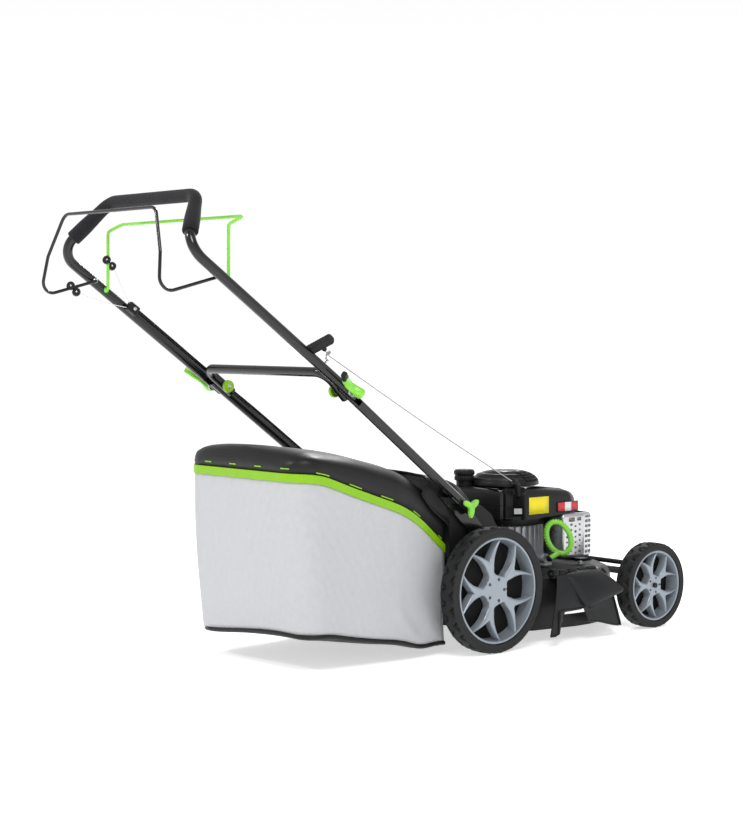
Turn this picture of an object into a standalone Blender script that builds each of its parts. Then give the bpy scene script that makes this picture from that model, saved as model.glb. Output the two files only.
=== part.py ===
"""Walk-behind petrol lawn mower with a grass catcher.

Frame: metres, +X forward, +Y to the mower's left, +Z up, origin on the ground below the
middle of the mower's box. Parts are placed from the ground point below the rear axle,
which the empty "mower_frame" carries to its place in that frame.
"""

import math

import bmesh
import bpy
from mathutils import Matrix, Vector

# ---------------------------------------------------------------- driving dimensions
REAR_AXLE_FROM_ORIGIN = 0.1135  # the rear axle lies this far in front of the origin
GAP = 0.0004  # between pieces that touch

WHEELBASE = 0.532
REAR_RADIUS = 0.140
FRONT_RADIUS = 0.102
WHEEL_Y = 0.244  # middle of each wheel
TYRE_WIDTH = 0.044
TYRE_DEPTH = {"rear": 0.021, "front": 0.017}
SPINDLE_RADIUS = 0.006
WHEEL_SIDES = 32
RIM_SIDES = 20

ENGINE_X = 0.294  # crankshaft and blade
LOOP_TURN = math.radians(41)  # the dipstick's loop faces this far behind square to the side
LOOP_TILT = math.radians(24)  # and its top leans back this far
BLADE_RADIUS = 0.228
DECK_RADIUS = 0.245
DECK_TOP = 0.150
DECK_HEM = 0.030
SHEET = 0.002

TUBE_RADIUS = 0.0105
TUBE_WALL = 0.0015
UPPER_Y = 0.232  # middle of each upper leg
LOWER_TOP_Y = 0.2235  # middle of each lower leg at the fold
LOWER_FOOT_Y = 0.2105  # and at its foot
LAP_Y = 0.228  # the half-lapped legs meet on this plane
BRACKET_Y = 0.1965  # middle of each handle bracket
UPPER_SLOPE = math.radians(35.6)
LOWER_SLOPE = math.radians(36.5)
UPPER_PIVOT = Vector((-0.404, 0, 0.588))  # where the upper handle folds
LOWER_PIVOT_DISTANCE = 0.440  # down the leg from the upper pivot
LAP = 0.042  # length of the half-lap at the upper pivot, from the pivot
BOLT_RADIUS = 0.004
HOLE_RADIUS = 0.0046

GRIP_BEND = (-0.808, UPPER_Y, 0.8772)  # x, y and z where each leg turns up to the grip
GRIP_CORNER = (-0.731, 0.154, 0.981)  # x, y and z of the grip's upper corners
FOAM_RADIUS = 0.0150
CROSSBAR_Y = LOWER_TOP_Y - 2 * TUBE_RADIUS - 0.001  # at the fold
GUIDE_DISTANCE = 0.088  # the rope guide is this far up the leg from the fold
PULL = (-0.72, -0.30, 0.62)  # direction in which the starter grip is pulled

BRAKE_PIVOT = (-0.726, 0.8185)
DRIVE_PIVOT = (-0.699, 0.7992)
BAIL_WIRE = 0.003
BAIL_Y = 0.2150  # where each bail leaves its socket
BAIL_END = 0.2285  # the wire ends here, inside the leg

ROPE_OUTLET = (-0.082, -0.0935, 0.3590)  # from the crankshaft's foot

BAG_HALF_WIDTH = 0.203
BAG_REAR = -0.515
BAG_MOUTH = -0.085
BAG_MOUTH_HALF = 0.181
BAG_NARROWS = -0.234  # from here forward the catcher tapers to its mouth
BAG_CORNER = 0.060

CRANK_PIN = (0.060, 0.175)  # x and z of the height-setting pivot at the rear
CRANK_ARM = (-0.060, -0.035)  # from each height-setting pivot to its spindles
CRANK_Y = 0.2085  # middle of each crank plate
PIN_RADIUS = 0.005
SPINDLE_HOLE = 0.0066
LINK_LUG = (0.021, 0.035)  # from each height-setting pivot to the link's end

PARTS = bpy.data.collections.new("petrol_lawn_mower")
CUTTERS = bpy.data.collections.new("cutters")


# ---------------------------------------------------------------- helpers
def material(name, colour, roughness, metallic=0.0):
    made = bpy.data.materials.new(name)
    made.use_nodes = True
    shader = made.node_tree.nodes["Principled BSDF"]
    shader.inputs["Base Color"].default_value = (*colour, 1)
    shader.inputs["Roughness"].default_value = roughness
    shader.inputs["Metallic"].default_value = metallic
    return made


LOOKS = {
    "steel": ((0.45, 0.46, 0.48), 0.35, 1.0),
    "silver": ((0.55, 0.56, 0.58), 0.40, 0.9),
    "black_paint": ((0.012, 0.012, 0.013), 0.30, 0.0),
    "black_plastic": ((0.020, 0.021, 0.023), 0.50, 0.0),
    "foam": ((0.015, 0.015, 0.016), 0.85, 0.0),
    "rubber": ((0.022, 0.022, 0.023), 0.80, 0.0),
    "rim_grey": ((0.42, 0.45, 0.48), 0.38, 0.0),
    "lime": ((0.36, 0.68, 0.02), 0.40, 0.0),
    "fabric": ((0.66, 0.67, 0.68), 0.80, 0.0),
    "rope": ((0.70, 0.70, 0.68), 0.80, 0.0),
}


def finish_object(thing, look, frame, place=(0, 0, 0), turn=(0, 0, 0)):
    """Link an object, place it under its frame and give it its own material."""
    PARTS.objects.link(thing)
    thing.parent = frame
    thing.location = place
    thing.rotation_euler = turn
    thing.data.materials.clear()
    thing.data.materials.append(material(thing.name + "_" + look, *LOOKS[look]))
    if thing.type == "MESH":
        thing.data.shade_smooth()
        thing.data.set_sharp_from_angle(angle=math.radians(35))
    return thing


def empty(name, place, frame=None, turn=(0, 0, 0)):
    made = bpy.data.objects.new(name, None)
    PARTS.objects.link(made)
    made.parent = frame
    made.location = place
    made.rotation_euler = turn
    return made


def mesh_object(name, bm):
    mesh = bpy.data.meshes.new(name)
    bm.to_mesh(mesh)
    bm.free()
    return bpy.data.objects.new(name, mesh)


def mesh_from_curve(name, curve):
    """Turn a curve into a welded mesh, so that it can be cut and joined."""
    guide = bpy.data.objects.new(name + "_curve", curve)
    CUTTERS.objects.link(guide)
    bpy.context.view_layer.update()
    graph = bpy.context.evaluated_depsgraph_get()
    mesh = bpy.data.meshes.new_from_object(guide.evaluated_get(graph))
    bpy.data.objects.remove(guide)
    bm = bmesh.new()
    bm.from_mesh(mesh)
    bmesh.ops.remove_doubles(bm, verts=bm.verts, dist=1e-6)
    bm.to_mesh(mesh)
    bm.free()
    return bpy.data.objects.new(name, mesh)


def box(name, low, high, bevel=0.0):
    """A box from one corner to the opposite one."""
    low, high = Vector(low), Vector(high)
    bm = bmesh.new()
    bmesh.ops.create_cube(bm, size=1)
    bmesh.ops.scale(bm, vec=high - low, verts=bm.verts)
    bmesh.ops.translate(bm, vec=(low + high) / 2, verts=bm.verts)
    made = mesh_object(name, bm)
    if bevel:
        edge = made.modifiers.new("edges", "BEVEL")
        edge.width = bevel
        edge.segments = 2
    return made


def rod(name, start, end, radius, sides=16):
    """A round bar between two points."""
    start, end = Vector(start), Vector(end)
    bm = bmesh.new()
    bmesh.ops.create_cone(
        bm, cap_ends=True, segments=sides, radius1=radius, radius2=radius, depth=(end - start).length
    )
    turn = (end - start).to_track_quat("Z", "Y").to_matrix().to_4x4()
    bmesh.ops.transform(bm, matrix=Matrix.Translation((start + end) / 2) @ turn, verts=bm.verts)
    return mesh_object(name, bm)


def crosswise(name, place, side, near, far, radius, sides=16):
    """A round bar along Y on one side of the mower, between two distances from its middle."""
    start = Vector((place[0], side * near, place[2]))
    end = Vector((place[0], side * far, place[2]))
    return rod(name, start, end, radius, sides)


def turned(name, profile, sides, closed=True):
    """Turn a profile of (radius, height) points about Z; it runs down its outer side."""
    bm = bmesh.new()
    points = [bm.verts.new((radius, 0, height)) for radius, height in profile]
    for first, second in zip(points, points[1:]):
        bm.edges.new((first, second))
    if closed:
        bm.edges.new((points[-1], points[0]))
    made = mesh_object(name, bm)
    screw = made.modifiers.new("turn", "SCREW")
    screw.steps = screw.render_steps = sides
    screw.use_merge_vertices = True
    screw.merge_threshold = 1e-5
    return made


def plate(name, outline, thickness):
    """A flat outline of (x, z) points, extruded along Y about Y = 0."""
    curve = bpy.data.curves.new(name, "CURVE")
    curve.dimensions = "2D"
    curve.fill_mode = "BOTH"
    curve.extrude = thickness / 2
    spline = curve.splines.new("POLY")
    spline.points.add(len(outline) - 1)
    spline.use_cyclic_u = True
    for point, (x, z) in zip(spline.points, outline):
        point.co = (x, z, 0, 1)
    made = mesh_from_curve(name, curve)
    made.data.transform(Matrix.Rotation(math.pi / 2, 4, "X"))
    return made


def rounded(points, radius, steps=5, closed=False):
    """Replace the corners of a path by arcs of one radius, or of one radius each."""
    points = [Vector(point) for point in points]
    radii = [radius] * len(points) if isinstance(radius, float) else radius
    path = []
    for index, point in enumerate(points):
        if not closed and index in (0, len(points) - 1):
            path.append(point)
            continue
        before = points[index - 1] - point
        after = points[(index + 1) % len(points)] - point
        opening = before.angle(after)
        reach = min(radii[index] / math.tan(opening / 2), 0.48 * before.length, 0.48 * after.length)
        start = point + before.normalized() * reach
        end = point + after.normalized() * reach
        centre = point + (before.normalized() + after.normalized()).normalized() * (
            reach / math.cos(opening / 2)
        )
        size = (start - centre).length
        for step in range(steps + 1):
            path.append(centre + (start - centre).slerp(end - centre, step / steps) * size)
    return path


def tube_curve(name, path, radius, resolution=2, capped=True, closed=False):
    curve = bpy.data.curves.new(name, "CURVE")
    curve.dimensions = "3D"
    curve.bevel_depth = radius
    curve.bevel_resolution = resolution
    curve.render_resolution_u = 0
    curve.use_fill_caps = capped
    spline = curve.splines.new("POLY")
    spline.points.add(len(path) - 1)
    spline.use_cyclic_u = closed
    for point, place in zip(spline.points, path):
        point.co = (*place, 1)
    return curve


def bar(name, path, radius, resolution=2, closed=False):
    """A solid bar or wire along a path."""
    return mesh_from_curve(name, tube_curve(name, path, radius, resolution, True, closed))


def pipe(name, path, radius, wall, resolution=3):
    """A hollow tube along a path, open at both ends."""
    made = mesh_from_curve(name, tube_curve(name, path, radius, resolution, False))
    shell = made.modifiers.new("wall", "SOLIDIFY")
    shell.thickness = wall
    shell.offset = -1
    return made


def grid_shell(name, rows, thickness, offset=-1):
    """A sheet through rows of points, thickened to a closed solid."""
    bm = bmesh.new()
    made_rows = [[bm.verts.new(point) for point in row] for row in rows]
    for upper, lower in zip(made_rows, made_rows[1:]):
        for index in range(len(upper) - 1):
            bm.faces.new((upper[index], upper[index + 1], lower[index + 1], lower[index]))
    made = mesh_object(name, bm)
    shell = made.modifiers.new("wall", "SOLIDIFY")
    shell.thickness = thickness
    shell.offset = offset
    return made


def stacked_shell(name, rings, thickness):
    """A cap open at its foot, from closed rings of points listed foot first."""
    bm = bmesh.new()
    made_rings = [[bm.verts.new(point) for point in ring] for ring in rings]
    count = len(rings[0])
    for lower, upper in zip(made_rings, made_rings[1:]):
        for index in range(count):
            after = (index + 1) % count
            bm.faces.new((lower[index], lower[after], upper[after], upper[index]))
    bm.faces.new(made_rings[-1])
    bmesh.ops.recalc_face_normals(bm, faces=bm.faces)
    made = mesh_object(name, bm)
    shell = made.modifiers.new("wall", "SOLIDIFY")
    shell.thickness = thickness
    shell.offset = -1
    return made


def combine(base, other, operation):
    """Cut another object out of a base, or join it on."""
    other.hide_render = True
    other.display_type = "WIRE"
    CUTTERS.objects.link(other)
    step = base.modifiers.new(other.name, "BOOLEAN")
    step.operation = operation
    step.object = other
    return other


def cut(base, cutter):
    return combine(base, cutter, "DIFFERENCE")


def join(base, other):
    return combine(base, other, "UNION")


def under(frame, *helpers):
    """Hang cutters and joined shapes on a frame."""
    for helper in helpers:
        helper.parent = frame


def leg(distance, y=0.0, lift=0.0):
    """A point up the handle leg from the upper pivot, lifted square to the leg."""
    slope = UPPER_SLOPE if distance > 0 else LOWER_SLOPE
    uphill = Vector((-math.cos(slope), 0, math.sin(slope)))
    across = Vector((math.sin(slope), 0, math.cos(slope)))
    return UPPER_PIVOT + uphill * distance + across * lift + Vector((0, y, 0))


def leg_y(distance):
    """How far the middle of the leg lies from the mower's middle plane."""
    if distance > 0:
        return UPPER_Y
    return LOWER_TOP_Y + (LOWER_FOOT_Y - LOWER_TOP_Y) * -distance / LOWER_PIVOT_DISTANCE


def mirrored(points):
    """The same points on the mower's other side, in the opposite order."""
    return [Vector((x, -y, z)) for x, y, z in reversed([tuple(point) for point in points])]


def smooth_path(points, count):
    """Points at equal steps of a Catmull-Rom curve through the given ones."""
    points = [Vector(point) for point in points]
    padded = [2 * points[0] - points[1], *points, 2 * points[-1] - points[-2]]
    path = []
    for step in range(count):
        place = step / (count - 1) * (len(points) - 1)
        index = min(int(place), len(points) - 2)
        share = place - index
        a, b, c, d = padded[index : index + 4]
        path.append(
            0.5
            * (
                2 * b
                + (c - a) * share
                + (2 * a - 5 * b + 4 * c - d) * share**2
                + (3 * b - a - 3 * c + d) * share**3
            )
        )
    return path


def along(table, x):
    """Read a value at x from a short table of (x, value) pairs, in straight runs."""
    for (x0, low), (x1, high) in zip(table, table[1:]):
        if x <= x1:
            return low + (high - low) * max(0.0, (x - x0) / (x1 - x0))
    return table[-1][1]


# ---------------------------------------------------------------- wheels
def wheel(frame, end, side):
    """A tyre and a five-spoke rim turning on a spindle; local Z points outward."""
    radius = REAR_RADIUS if end == "rear" else FRONT_RADIUS
    seat = radius - TYRE_DEPTH[end]
    half = TYRE_WIDTH / 2
    x = 0 if end == "rear" else WHEELBASE
    turn = (-math.pi / 2 * side, 0, 0)
    hub = empty(f"{end}_wheel_{'l' if side > 0 else 'r'}_axis", (x, side * WHEEL_Y, radius), frame, turn)
    tag = f"{end}_{'l' if side > 0 else 'r'}"

    flat = radius / math.cos(math.pi / WHEEL_SIDES)  # puts a flat of the tread on the ground
    shape = [
        (seat, half),
        (flat - 0.007, half),
        (flat, half - 0.007),
        (flat, 0.007 - half),
        (flat - 0.007, -half),
        (seat, -half),
    ]
    tyre = turned("tyre_" + tag, shape, WHEEL_SIDES)
    tyre.data.transform(Matrix.Rotation(math.pi / WHEEL_SIDES, 4, "Z"))
    finish_object(tyre, "rubber", hub)

    rim_out = (seat - GAP) * math.cos(math.pi / WHEEL_SIDES)
    face = half - 0.003
    shape = [
        (0.0067, face),
        (0.026, face),
        (rim_out - 0.005, face - 0.010),
        (rim_out - 0.004, half - 0.003),
        (rim_out, half - 0.003),
        (rim_out, 0.006 - half),
        (rim_out - 0.007, 0.006 - half),
        (rim_out - 0.009, face - 0.018),
        (0.020, face - 0.012),
        (0.0067, 0.004 - half),
    ]
    rim = turned("rim_" + tag, shape, RIM_SIDES)
    finish_object(rim, "rim_grey", hub)
    inner, outer = 0.036, rim_out - 0.010
    for window in range(5):
        middle = window * math.tau / 5
        corners = [(inner, -0.42), (outer, -0.40), (outer, 0.40), (inner, 0.42)]
        points = [(r * math.cos(middle + a), r * math.sin(middle + a)) for r, a in corners]
        opening = plate(f"window_{tag}_{window}", points, 0.08)
        opening.data.transform(Matrix.Rotation(-math.pi / 2, 4, "X"))
        cut(rim, opening)
        under(hub, opening)
    return hub


# ---------------------------------------------------------------- deck and its fittings
def deck_outline(inset):
    """The deck seen from above: round at the front, narrower between the rear wheels."""
    front = DECK_RADIUS - inset
    points = []
    for step in range(17):
        angle = math.radians(-96 + 12 * step)
        points.append((ENGINE_X + front * math.cos(angle), front * math.sin(angle)))
    rear_half = 0.203 - inset
    rear_x = 0.050 + inset
    left = [(0.150, 0.225 - inset), (0.110, rear_half), (rear_x, rear_half)]
    right = [(x, -y) for x, y in reversed(left)]
    return points + left + right


def deck(frame):
    levels = [(0.0, DECK_HEM), (0.0, DECK_TOP - 0.016), (0.006, DECK_TOP - 0.005), (0.018, DECK_TOP)]
    rings = [[(x, y, height) for x, y in deck_outline(inset)] for inset, height in levels]
    made = stacked_shell("deck", rings, SHEET)
    finish_object(made, "black_paint", frame)
    cutters = [
        rod("deck_shaft_hole", (ENGINE_X, 0, 0.10), (ENGINE_X, 0, 0.20), 0.028, 24),
        box("deck_side_opening", (0.215, -0.30, 0.060), (0.355, -0.20, 0.120)),
        box("deck_rear_opening", (0.000, -0.150, 0.075), (0.120, 0.150, 0.200)),
    ]
    for cutter in cutters:
        cut(made, cutter)
    under(frame, *cutters)


def rear_housing(frame):
    """The tunnel that carries the grass up to the catcher."""
    half = 0.188
    side = [
        (0.140, 0.1515),
        (0.052, 0.300),
        (0.020, 0.322),
        (-0.078, 0.326),
        (-0.078, 0.178),
        (0.020, 0.172),
        (0.054, 0.1515),
    ]
    bm = bmesh.new()
    right = [bm.verts.new((x, -half, z)) for x, z in side]
    left = [bm.verts.new((x, half, z)) for x, z in side]
    for index in (0, 1, 2, 4, 5):
        bm.faces.new((right[index], right[index + 1], left[index + 1], left[index]))
    bm.faces.new(right[::-1])
    bm.faces.new(left)
    bmesh.ops.recalc_face_normals(bm, faces=bm.faces)
    made = mesh_object("rear_housing", bm)
    shell = made.modifiers.new("wall", "SOLIDIFY")
    shell.thickness = 0.0025
    shell.offset = -1
    finish_object(made, "black_plastic", frame)


def handle_bracket(frame, side):
    outline = [
        (0.035, 0.1525),
        (0.115, 0.1525),
        (0.085, 0.205),
        (0.030, 0.262),
        (-0.058, 0.352),
        (-0.098, 0.380),
        (-0.118, 0.352),
        (-0.030, 0.272),
    ]
    made = plate(f"handle_bracket_{'l' if side > 0 else 'r'}", outline, 0.0025)
    made.data.transform(Matrix.Translation((0, side * BRACKET_Y, 0)))
    finish_object(made, "black_paint", frame)
    tag = made.name
    stop = leg(-LOWER_PIVOT_DISTANCE + 0.045, side * (BRACKET_Y + 0.0140), -TUBE_RADIUS - 0.0025)
    tab = box(tag + "_stop", (-0.012, -0.0140, -0.0015), (0.012, 0.0140, 0.0015))
    tab.data.transform(Matrix.Translation(stop) @ Matrix.Rotation(LOWER_SLOPE, 4, "Y"))
    join(made, tab)
    pivot = leg(-LOWER_PIVOT_DISTANCE)
    boss = crosswise(tag + "_boss", pivot, side, BRACKET_Y, LOWER_FOOT_Y - TUBE_RADIUS - GAP * 2, 0.012)
    join(made, boss)
    bolt_hole = crosswise(tag + "_hole", pivot, side, BRACKET_Y - 0.01, LOWER_FOOT_Y, HOLE_RADIUS)
    crank_pin = Vector((CRANK_PIN[0], 0, CRANK_PIN[1]))
    reach = (BRACKET_Y - 0.01, BRACKET_Y + 0.01)
    pin_hole = crosswise(tag + "_pin_hole", crank_pin, side, *reach, PIN_RADIUS + 0.0006)
    cut(made, bolt_hole)
    cut(made, pin_hole)
    under(frame, tab, boss, bolt_hole, pin_hole)


def front_cover(frame):
    """The bent cover over the front height-setting bar."""
    outline = [
        (0.455, 0.1515),
        (0.534, 0.1515),
        (0.556, 0.1400),
        (0.578, 0.1310),
        (0.578, 0.1460),
        (0.606, 0.1460),
        (0.606, 0.1200),
        (0.611, 0.1200),
        (0.611, 0.1520),
        (0.600, 0.1560),
        (0.500, 0.1590),
        (0.455, 0.1560),
    ]
    made = plate("front_cover", outline, 0.380)
    finish_object(made, "black_plastic", frame)


def side_chute(frame):
    """The hinged cover of the side outlet, with a raised rib of its own."""
    hinge = empty("side_chute_hinge", (0, -0.236, 0.156), frame)
    rows = []
    for down in range(7):
        share = down / 6
        low_x = 0.235 - 0.068 * share
        high_x = 0.357 + 0.018 * share
        row = []
        for across in range(7):
            x = low_x + (high_x - low_x) * across / 6
            bulge = 0.008 * math.sin(math.pi * min(share * 1.5, 1)) * math.sin(math.pi * across / 6)
            y = -0.004 - 0.030 * share**0.5 - bulge
            row.append((x, y, -0.131 * share))
        rows.append(row)
    made = grid_shell("side_chute", rows, 0.003, 0)
    finish_object(made, "black_plastic", hinge)


def rear_flap(frame):
    """The flap over the tunnel mouth, raised here on the catcher's lid."""
    hinge_x, hinge_z = 0.036, 0.334
    hinge = empty("rear_flap_hinge", (hinge_x, 0, hinge_z), frame)
    top = [(0.018, -0.004), (-0.004, 0.010), (-0.036, 0.026), (-0.091, 0.044), (-0.135, 0.055)]
    top.append((-0.178, 0.063))
    skirt = [(0.018, -0.050), (-0.010, -0.070), (-0.062, -0.082), (-0.120, -0.046), (-0.165, -0.016)]
    skirt.append((-0.196, 0.018))
    half = 0.1915
    rows = []
    for (x, z), (low_x, low_z) in zip(top, skirt):
        row = [(low_x, -half, low_z), ((low_x + x) / 2, -half - 0.001, (low_z + z - 0.008) / 2)]
        row += [(x, -half, z - 0.020), (x, -half + 0.016, z - 0.006)]
        row += [(x, -half / 2, z + 0.004), (x, 0, z + 0.006)]
        row += [(px, -py, pz) for px, py, pz in reversed(row[:-1])]
        rows.append(row)
    made = grid_shell("rear_flap", rows, 0.003, 0)
    finish_object(made, "black_plastic", hinge)


# ---------------------------------------------------------------- height setting and axles
def height_setting(frame):
    rear_pin = Vector((CRANK_PIN[0], 0, CRANK_PIN[1]))
    arm = Vector((CRANK_ARM[0], 0, CRANK_ARM[1]))
    rear = empty("rear_height_pivot", rear_pin, frame)
    axle = rod("rear_axle", arm + Vector((0, -0.262, 0)), arm + Vector((0, 0.262, 0)), SPINDLE_RADIUS)
    finish_object(axle, "steel", rear)

    for side in (1, -1):
        name = "height_lever" if side > 0 else "rear_crank_r"
        outline = [(0.012, -0.012), (0.016, 0.010), (-0.050, -0.022), (-0.074, -0.036), (-0.062, -0.052)]
        if side > 0:
            outline = [(0.012, -0.012), (0.020, 0.010), (0.066, 0.118), (0.052, 0.122), (0.004, 0.014)]
            outline += [(-0.050, -0.022), (-0.074, -0.036), (-0.062, -0.052)]
        made = plate(name, outline, 0.003)
        made.data.transform(Matrix.Translation((0, side * CRANK_Y, 0)))
        finish_object(made, "black_paint", rear)
        pin = crosswise(name + "_pin", Vector(), side, 0.192, CRANK_Y, PIN_RADIUS)
        join(made, pin)
        hole = crosswise(name + "_hole", arm, side, CRANK_Y - 0.01, CRANK_Y + 0.01, SPINDLE_HOLE)
        cut(made, hole)
        under(rear, pin, hole)
        if side > 0:
            knob = box(name + "_knob", (0.048, 0.207, 0.112), (0.072, 0.262, 0.130))
            join(made, knob)
            under(rear, knob)

    gearbox = box("gearbox", (-0.085, -0.050, -0.070), (-0.030, 0.050, -0.026), 0.003)
    finish_object(gearbox, "silver", rear)
    bore = crosswise("gearbox_bore", arm, 1, -0.06, 0.06, SPINDLE_HOLE)
    cut(gearbox, bore)
    under(rear, bore)

    front_pin = Vector((WHEELBASE, 0, FRONT_RADIUS)) - arm
    front = empty("front_height_pivot", front_pin, frame)
    half = []
    for y, place in ((0.262, arm), (0.209, arm), (0.209, Vector())):
        half.append(place + Vector((0, y, 0)))
    axle = bar("front_axle", rounded(half + mirrored(half), 0.008, 3), SPINDLE_RADIUS, 3)
    finish_object(axle, "steel", front)
    lug_plate = plate("front_lug", [(-0.005, 0.0), (0.005, 0.0), (0.027, 0.040), (0.015, 0.040)], 0.003)
    lug_plate.data.transform(Matrix.Translation((0, 0.2090, 0)))
    join(axle, lug_plate)
    under(front, lug_plate)

    link = empty("height_link_pivot", rear_pin + Vector((LINK_LUG[0], 0, LINK_LUG[1])), frame)
    run = front_pin - rear_pin
    fall = run.normalized()
    square = Vector((-fall.z, 0, fall.x)) * 0.006
    ends = [Vector() - fall * 0.008, run + fall * 0.008]
    outline = [ends[0] - square, ends[1] - square, ends[1] + square, ends[0] + square]
    made = plate("height_link", [(p.x, p.z) for p in outline], 0.003)
    made.data.transform(Matrix.Translation((0, 0.2125, 0)))
    finish_object(made, "steel", link)


# ---------------------------------------------------------------- engine
def engine(frame):
    base = DECK_TOP + GAP * 2
    crank = empty("crank_axis", (ENGINE_X, 0, 0), frame)

    shape = [(0.0135, 0.258), (0.060, 0.258), (0.078, 0.246), (0.078, 0.170), (0.096, 0.168), (0.096, base)]
    shape.append((0.0135, base))
    finish_object(turned("crankcase", shape, 24), "silver", crank)
    boss = rod("filler_boss", (0.010, -0.070, 0.172), (0.010, -0.118, 0.172), 0.011, 12)
    well = rod("filler_well", (0.010, -0.080, 0.172), (0.010, -0.130, 0.172), 0.0068, 12)
    case = bpy.data.objects["crankcase"]
    join(case, boss)
    cut(case, well)
    under(crank, boss, well)

    half_width, fin_depth, fin_pitch = 0.042, 0.010, 0.014
    barrel = box("cylinder_block", (0.0785, -half_width, 0.172), (0.172, half_width, 0.256))
    finish_object(barrel, "silver", crank)
    for index in range(5):
        x = 0.092 + index * fin_pitch
        for side in (-1, 1):
            near, far = sorted((side * (half_width - fin_depth), side * (half_width + 0.001)))
            slot = box(f"fin_gap_{index}_{side}", (x, near, 0.16), (x + 0.006, far, 0.27))
            cut(barrel, slot)
            under(crank, slot)

    shape = [(0.0, 0.258), (0.024, 0.258), (0.032, 0.250), (0.032, 0.186), (0.024, 0.178), (0.0, 0.178)]
    pot = turned("muffler", shape, 16, False)
    finish_object(pot, "steel", crank, (0.118, -0.082, 0))

    guard_rows = []
    half_plan = [(0.074, -0.052), (0.074, -0.118), (0.084, -0.128)]
    plan = half_plan + [(0.238 - x, y) for x, y in reversed(half_plan)]
    for height in (0.1695, 0.2615):
        guard_rows.append([(x, y, height) for x, y in plan])
    finish_object(grid_shell("muffler_guard", guard_rows, 0.0015, 0), "silver", crank)

    finish_object(engine_cowl(), "black_plastic", crank)

    shape = [(0.0, 0.376), (0.034, 0.3755), (0.060, 0.369), (0.075, 0.357), (0.080, 0.3455)]
    dome = turned("recoil_dome", shape, 28, False)
    shell = dome.modifiers.new("wall", "SOLIDIFY")
    shell.thickness = 0.0025
    shell.offset = -1
    finish_object(dome, "black_plastic", crank)

    outline = [(-0.129, -0.102), (-0.118, -0.102), (-0.0755, -0.050), (-0.0755, 0.078), (-0.129, 0.078)]
    tank = plate("fuel_tank", outline, 0.070)
    tank.data.transform(Matrix.Rotation(-math.pi / 2, 4, "X"))
    tank.data.transform(Matrix.Translation((0, 0, 0.305)))
    finish_object(tank, "black_plastic", crank)
    cap_axis = empty("fuel_cap_axis", (-0.102, 0.046, 0), crank)
    shape = [(0.0, 0.380), (0.022, 0.380), (0.025, 0.376), (0.025, 0.360), (0.019, 0.358), (0.019, 0.3404)]
    shape.append((0.0, 0.3404))
    finish_object(turned("fuel_cap", shape, 20, False), "black_plastic", cap_axis)

    filter_box = box("air_filter_box", (-0.050, 0.128, 0.225), (0.070, 0.172, 0.330), 0.010)
    finish_object(filter_box, "black_plastic", crank)
    outlet = rod("rope_outlet", (-0.056, -0.0820, 0.3535), ROPE_OUTLET, 0.0060, 12)
    finish_object(outlet, "black_plastic", crank)

    shape = [(0.0, 0.328), (0.0125, 0.328), (0.0125, 0.108), (0.018, 0.106), (0.018, 0.092), (0.0, 0.092)]
    finish_object(turned("crankshaft", shape, 20, False), "steel", crank)
    shape = [(0.0130, 0.320), (0.068, 0.320), (0.068, 0.290), (0.0130, 0.290)]
    finish_object(turned("flywheel", shape, 24), "silver", crank)
    rows = []
    for x in (-BLADE_RADIUS, -0.165, -0.045, 0.045, 0.165, BLADE_RADIUS):
        lift = 0.014 if abs(x) == BLADE_RADIUS else 0.0  # the wings that blow the grass up
        edges = [(-0.026, 0.0), (0.010, 0.0), (0.026, lift)]
        if x < 0:
            edges = [(-y, z) for y, z in reversed(edges)]
        rows.append([(x, y, 0.0877 + z) for y, z in edges])
    cutter_bar = grid_shell("blade", rows, 0.004)
    finish_object(cutter_bar, "steel", crank)
    hole = rod("blade_hole", (0, 0, 0.07), (0, 0, 0.11), 0.0058, 10)
    cut(cutter_bar, hole)
    under(crank, hole)
    shape = [(0.0, 0.0915), (0.0050, 0.0915), (0.0050, 0.0872), (0.016, 0.0872), (0.016, 0.0845)]
    shape += [(0.010, 0.0845), (0.010, 0.078), (0.0, 0.078)]
    finish_object(turned("blade_bolt", shape, 12, False), "steel", crank)

    dipstick(crank)


def dipstick(crank):
    """The oil filler plug and its tall pull loop, which stands askew beside the guard."""
    stick = empty("dipstick_axis", (0.010, -0.119, 0.172), crank)
    across = Vector((math.cos(LOOP_TURN), -math.sin(LOOP_TURN), 0))
    middle = Vector((0.018, -0.022, 0.050))
    long_way = across * -math.sin(LOOP_TILT) + Vector((0, 0, math.cos(LOOP_TILT)))
    short_way = across * math.cos(LOOP_TILT) + Vector((0, 0, math.sin(LOOP_TILT)))
    loop = []
    for step in range(25):
        angle = math.tau * step / 24 - math.radians(128)
        loop.append(middle + short_way * 0.0295 * math.cos(angle) + long_way * 0.0415 * math.sin(angle))
    neck = [Vector(), Vector((0, -0.012, 0))]
    made = bar("dipstick", neck + loop, 0.0055)
    finish_object(made, "lime", stick)


def engine_cowl():
    """The fan housing: round over the flywheel, drawn out over the cylinder."""
    outline = []
    for step in range(13):
        angle = math.radians(60 + 20 * step)
        outline.append((max(0.118 * math.cos(angle), -0.074), 0.118 * math.sin(angle)))
    outline += [(0.098, -0.114), (0.134, -0.094), (0.153, -0.048)]
    outline += [(0.153, 0.048), (0.134, 0.088), (0.098, 0.106)]
    levels = [(1.0, 0.2665, 0.2745), (1.0, 0.314, 0.290), (0.975, 0.334, 0.306), (0.90, 0.3445, 0.320)]
    rings = []
    for share, rear_z, front_z in levels:
        ring = []
        for x, y in outline:
            slope = min(max((x - 0.060) / 0.115, 0), 1)
            ring.append((x * share, y * share, rear_z + (front_z - rear_z) * slope))
        rings.append(ring)
    return stacked_shell("engine_cowl", rings, 0.0025)


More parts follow.
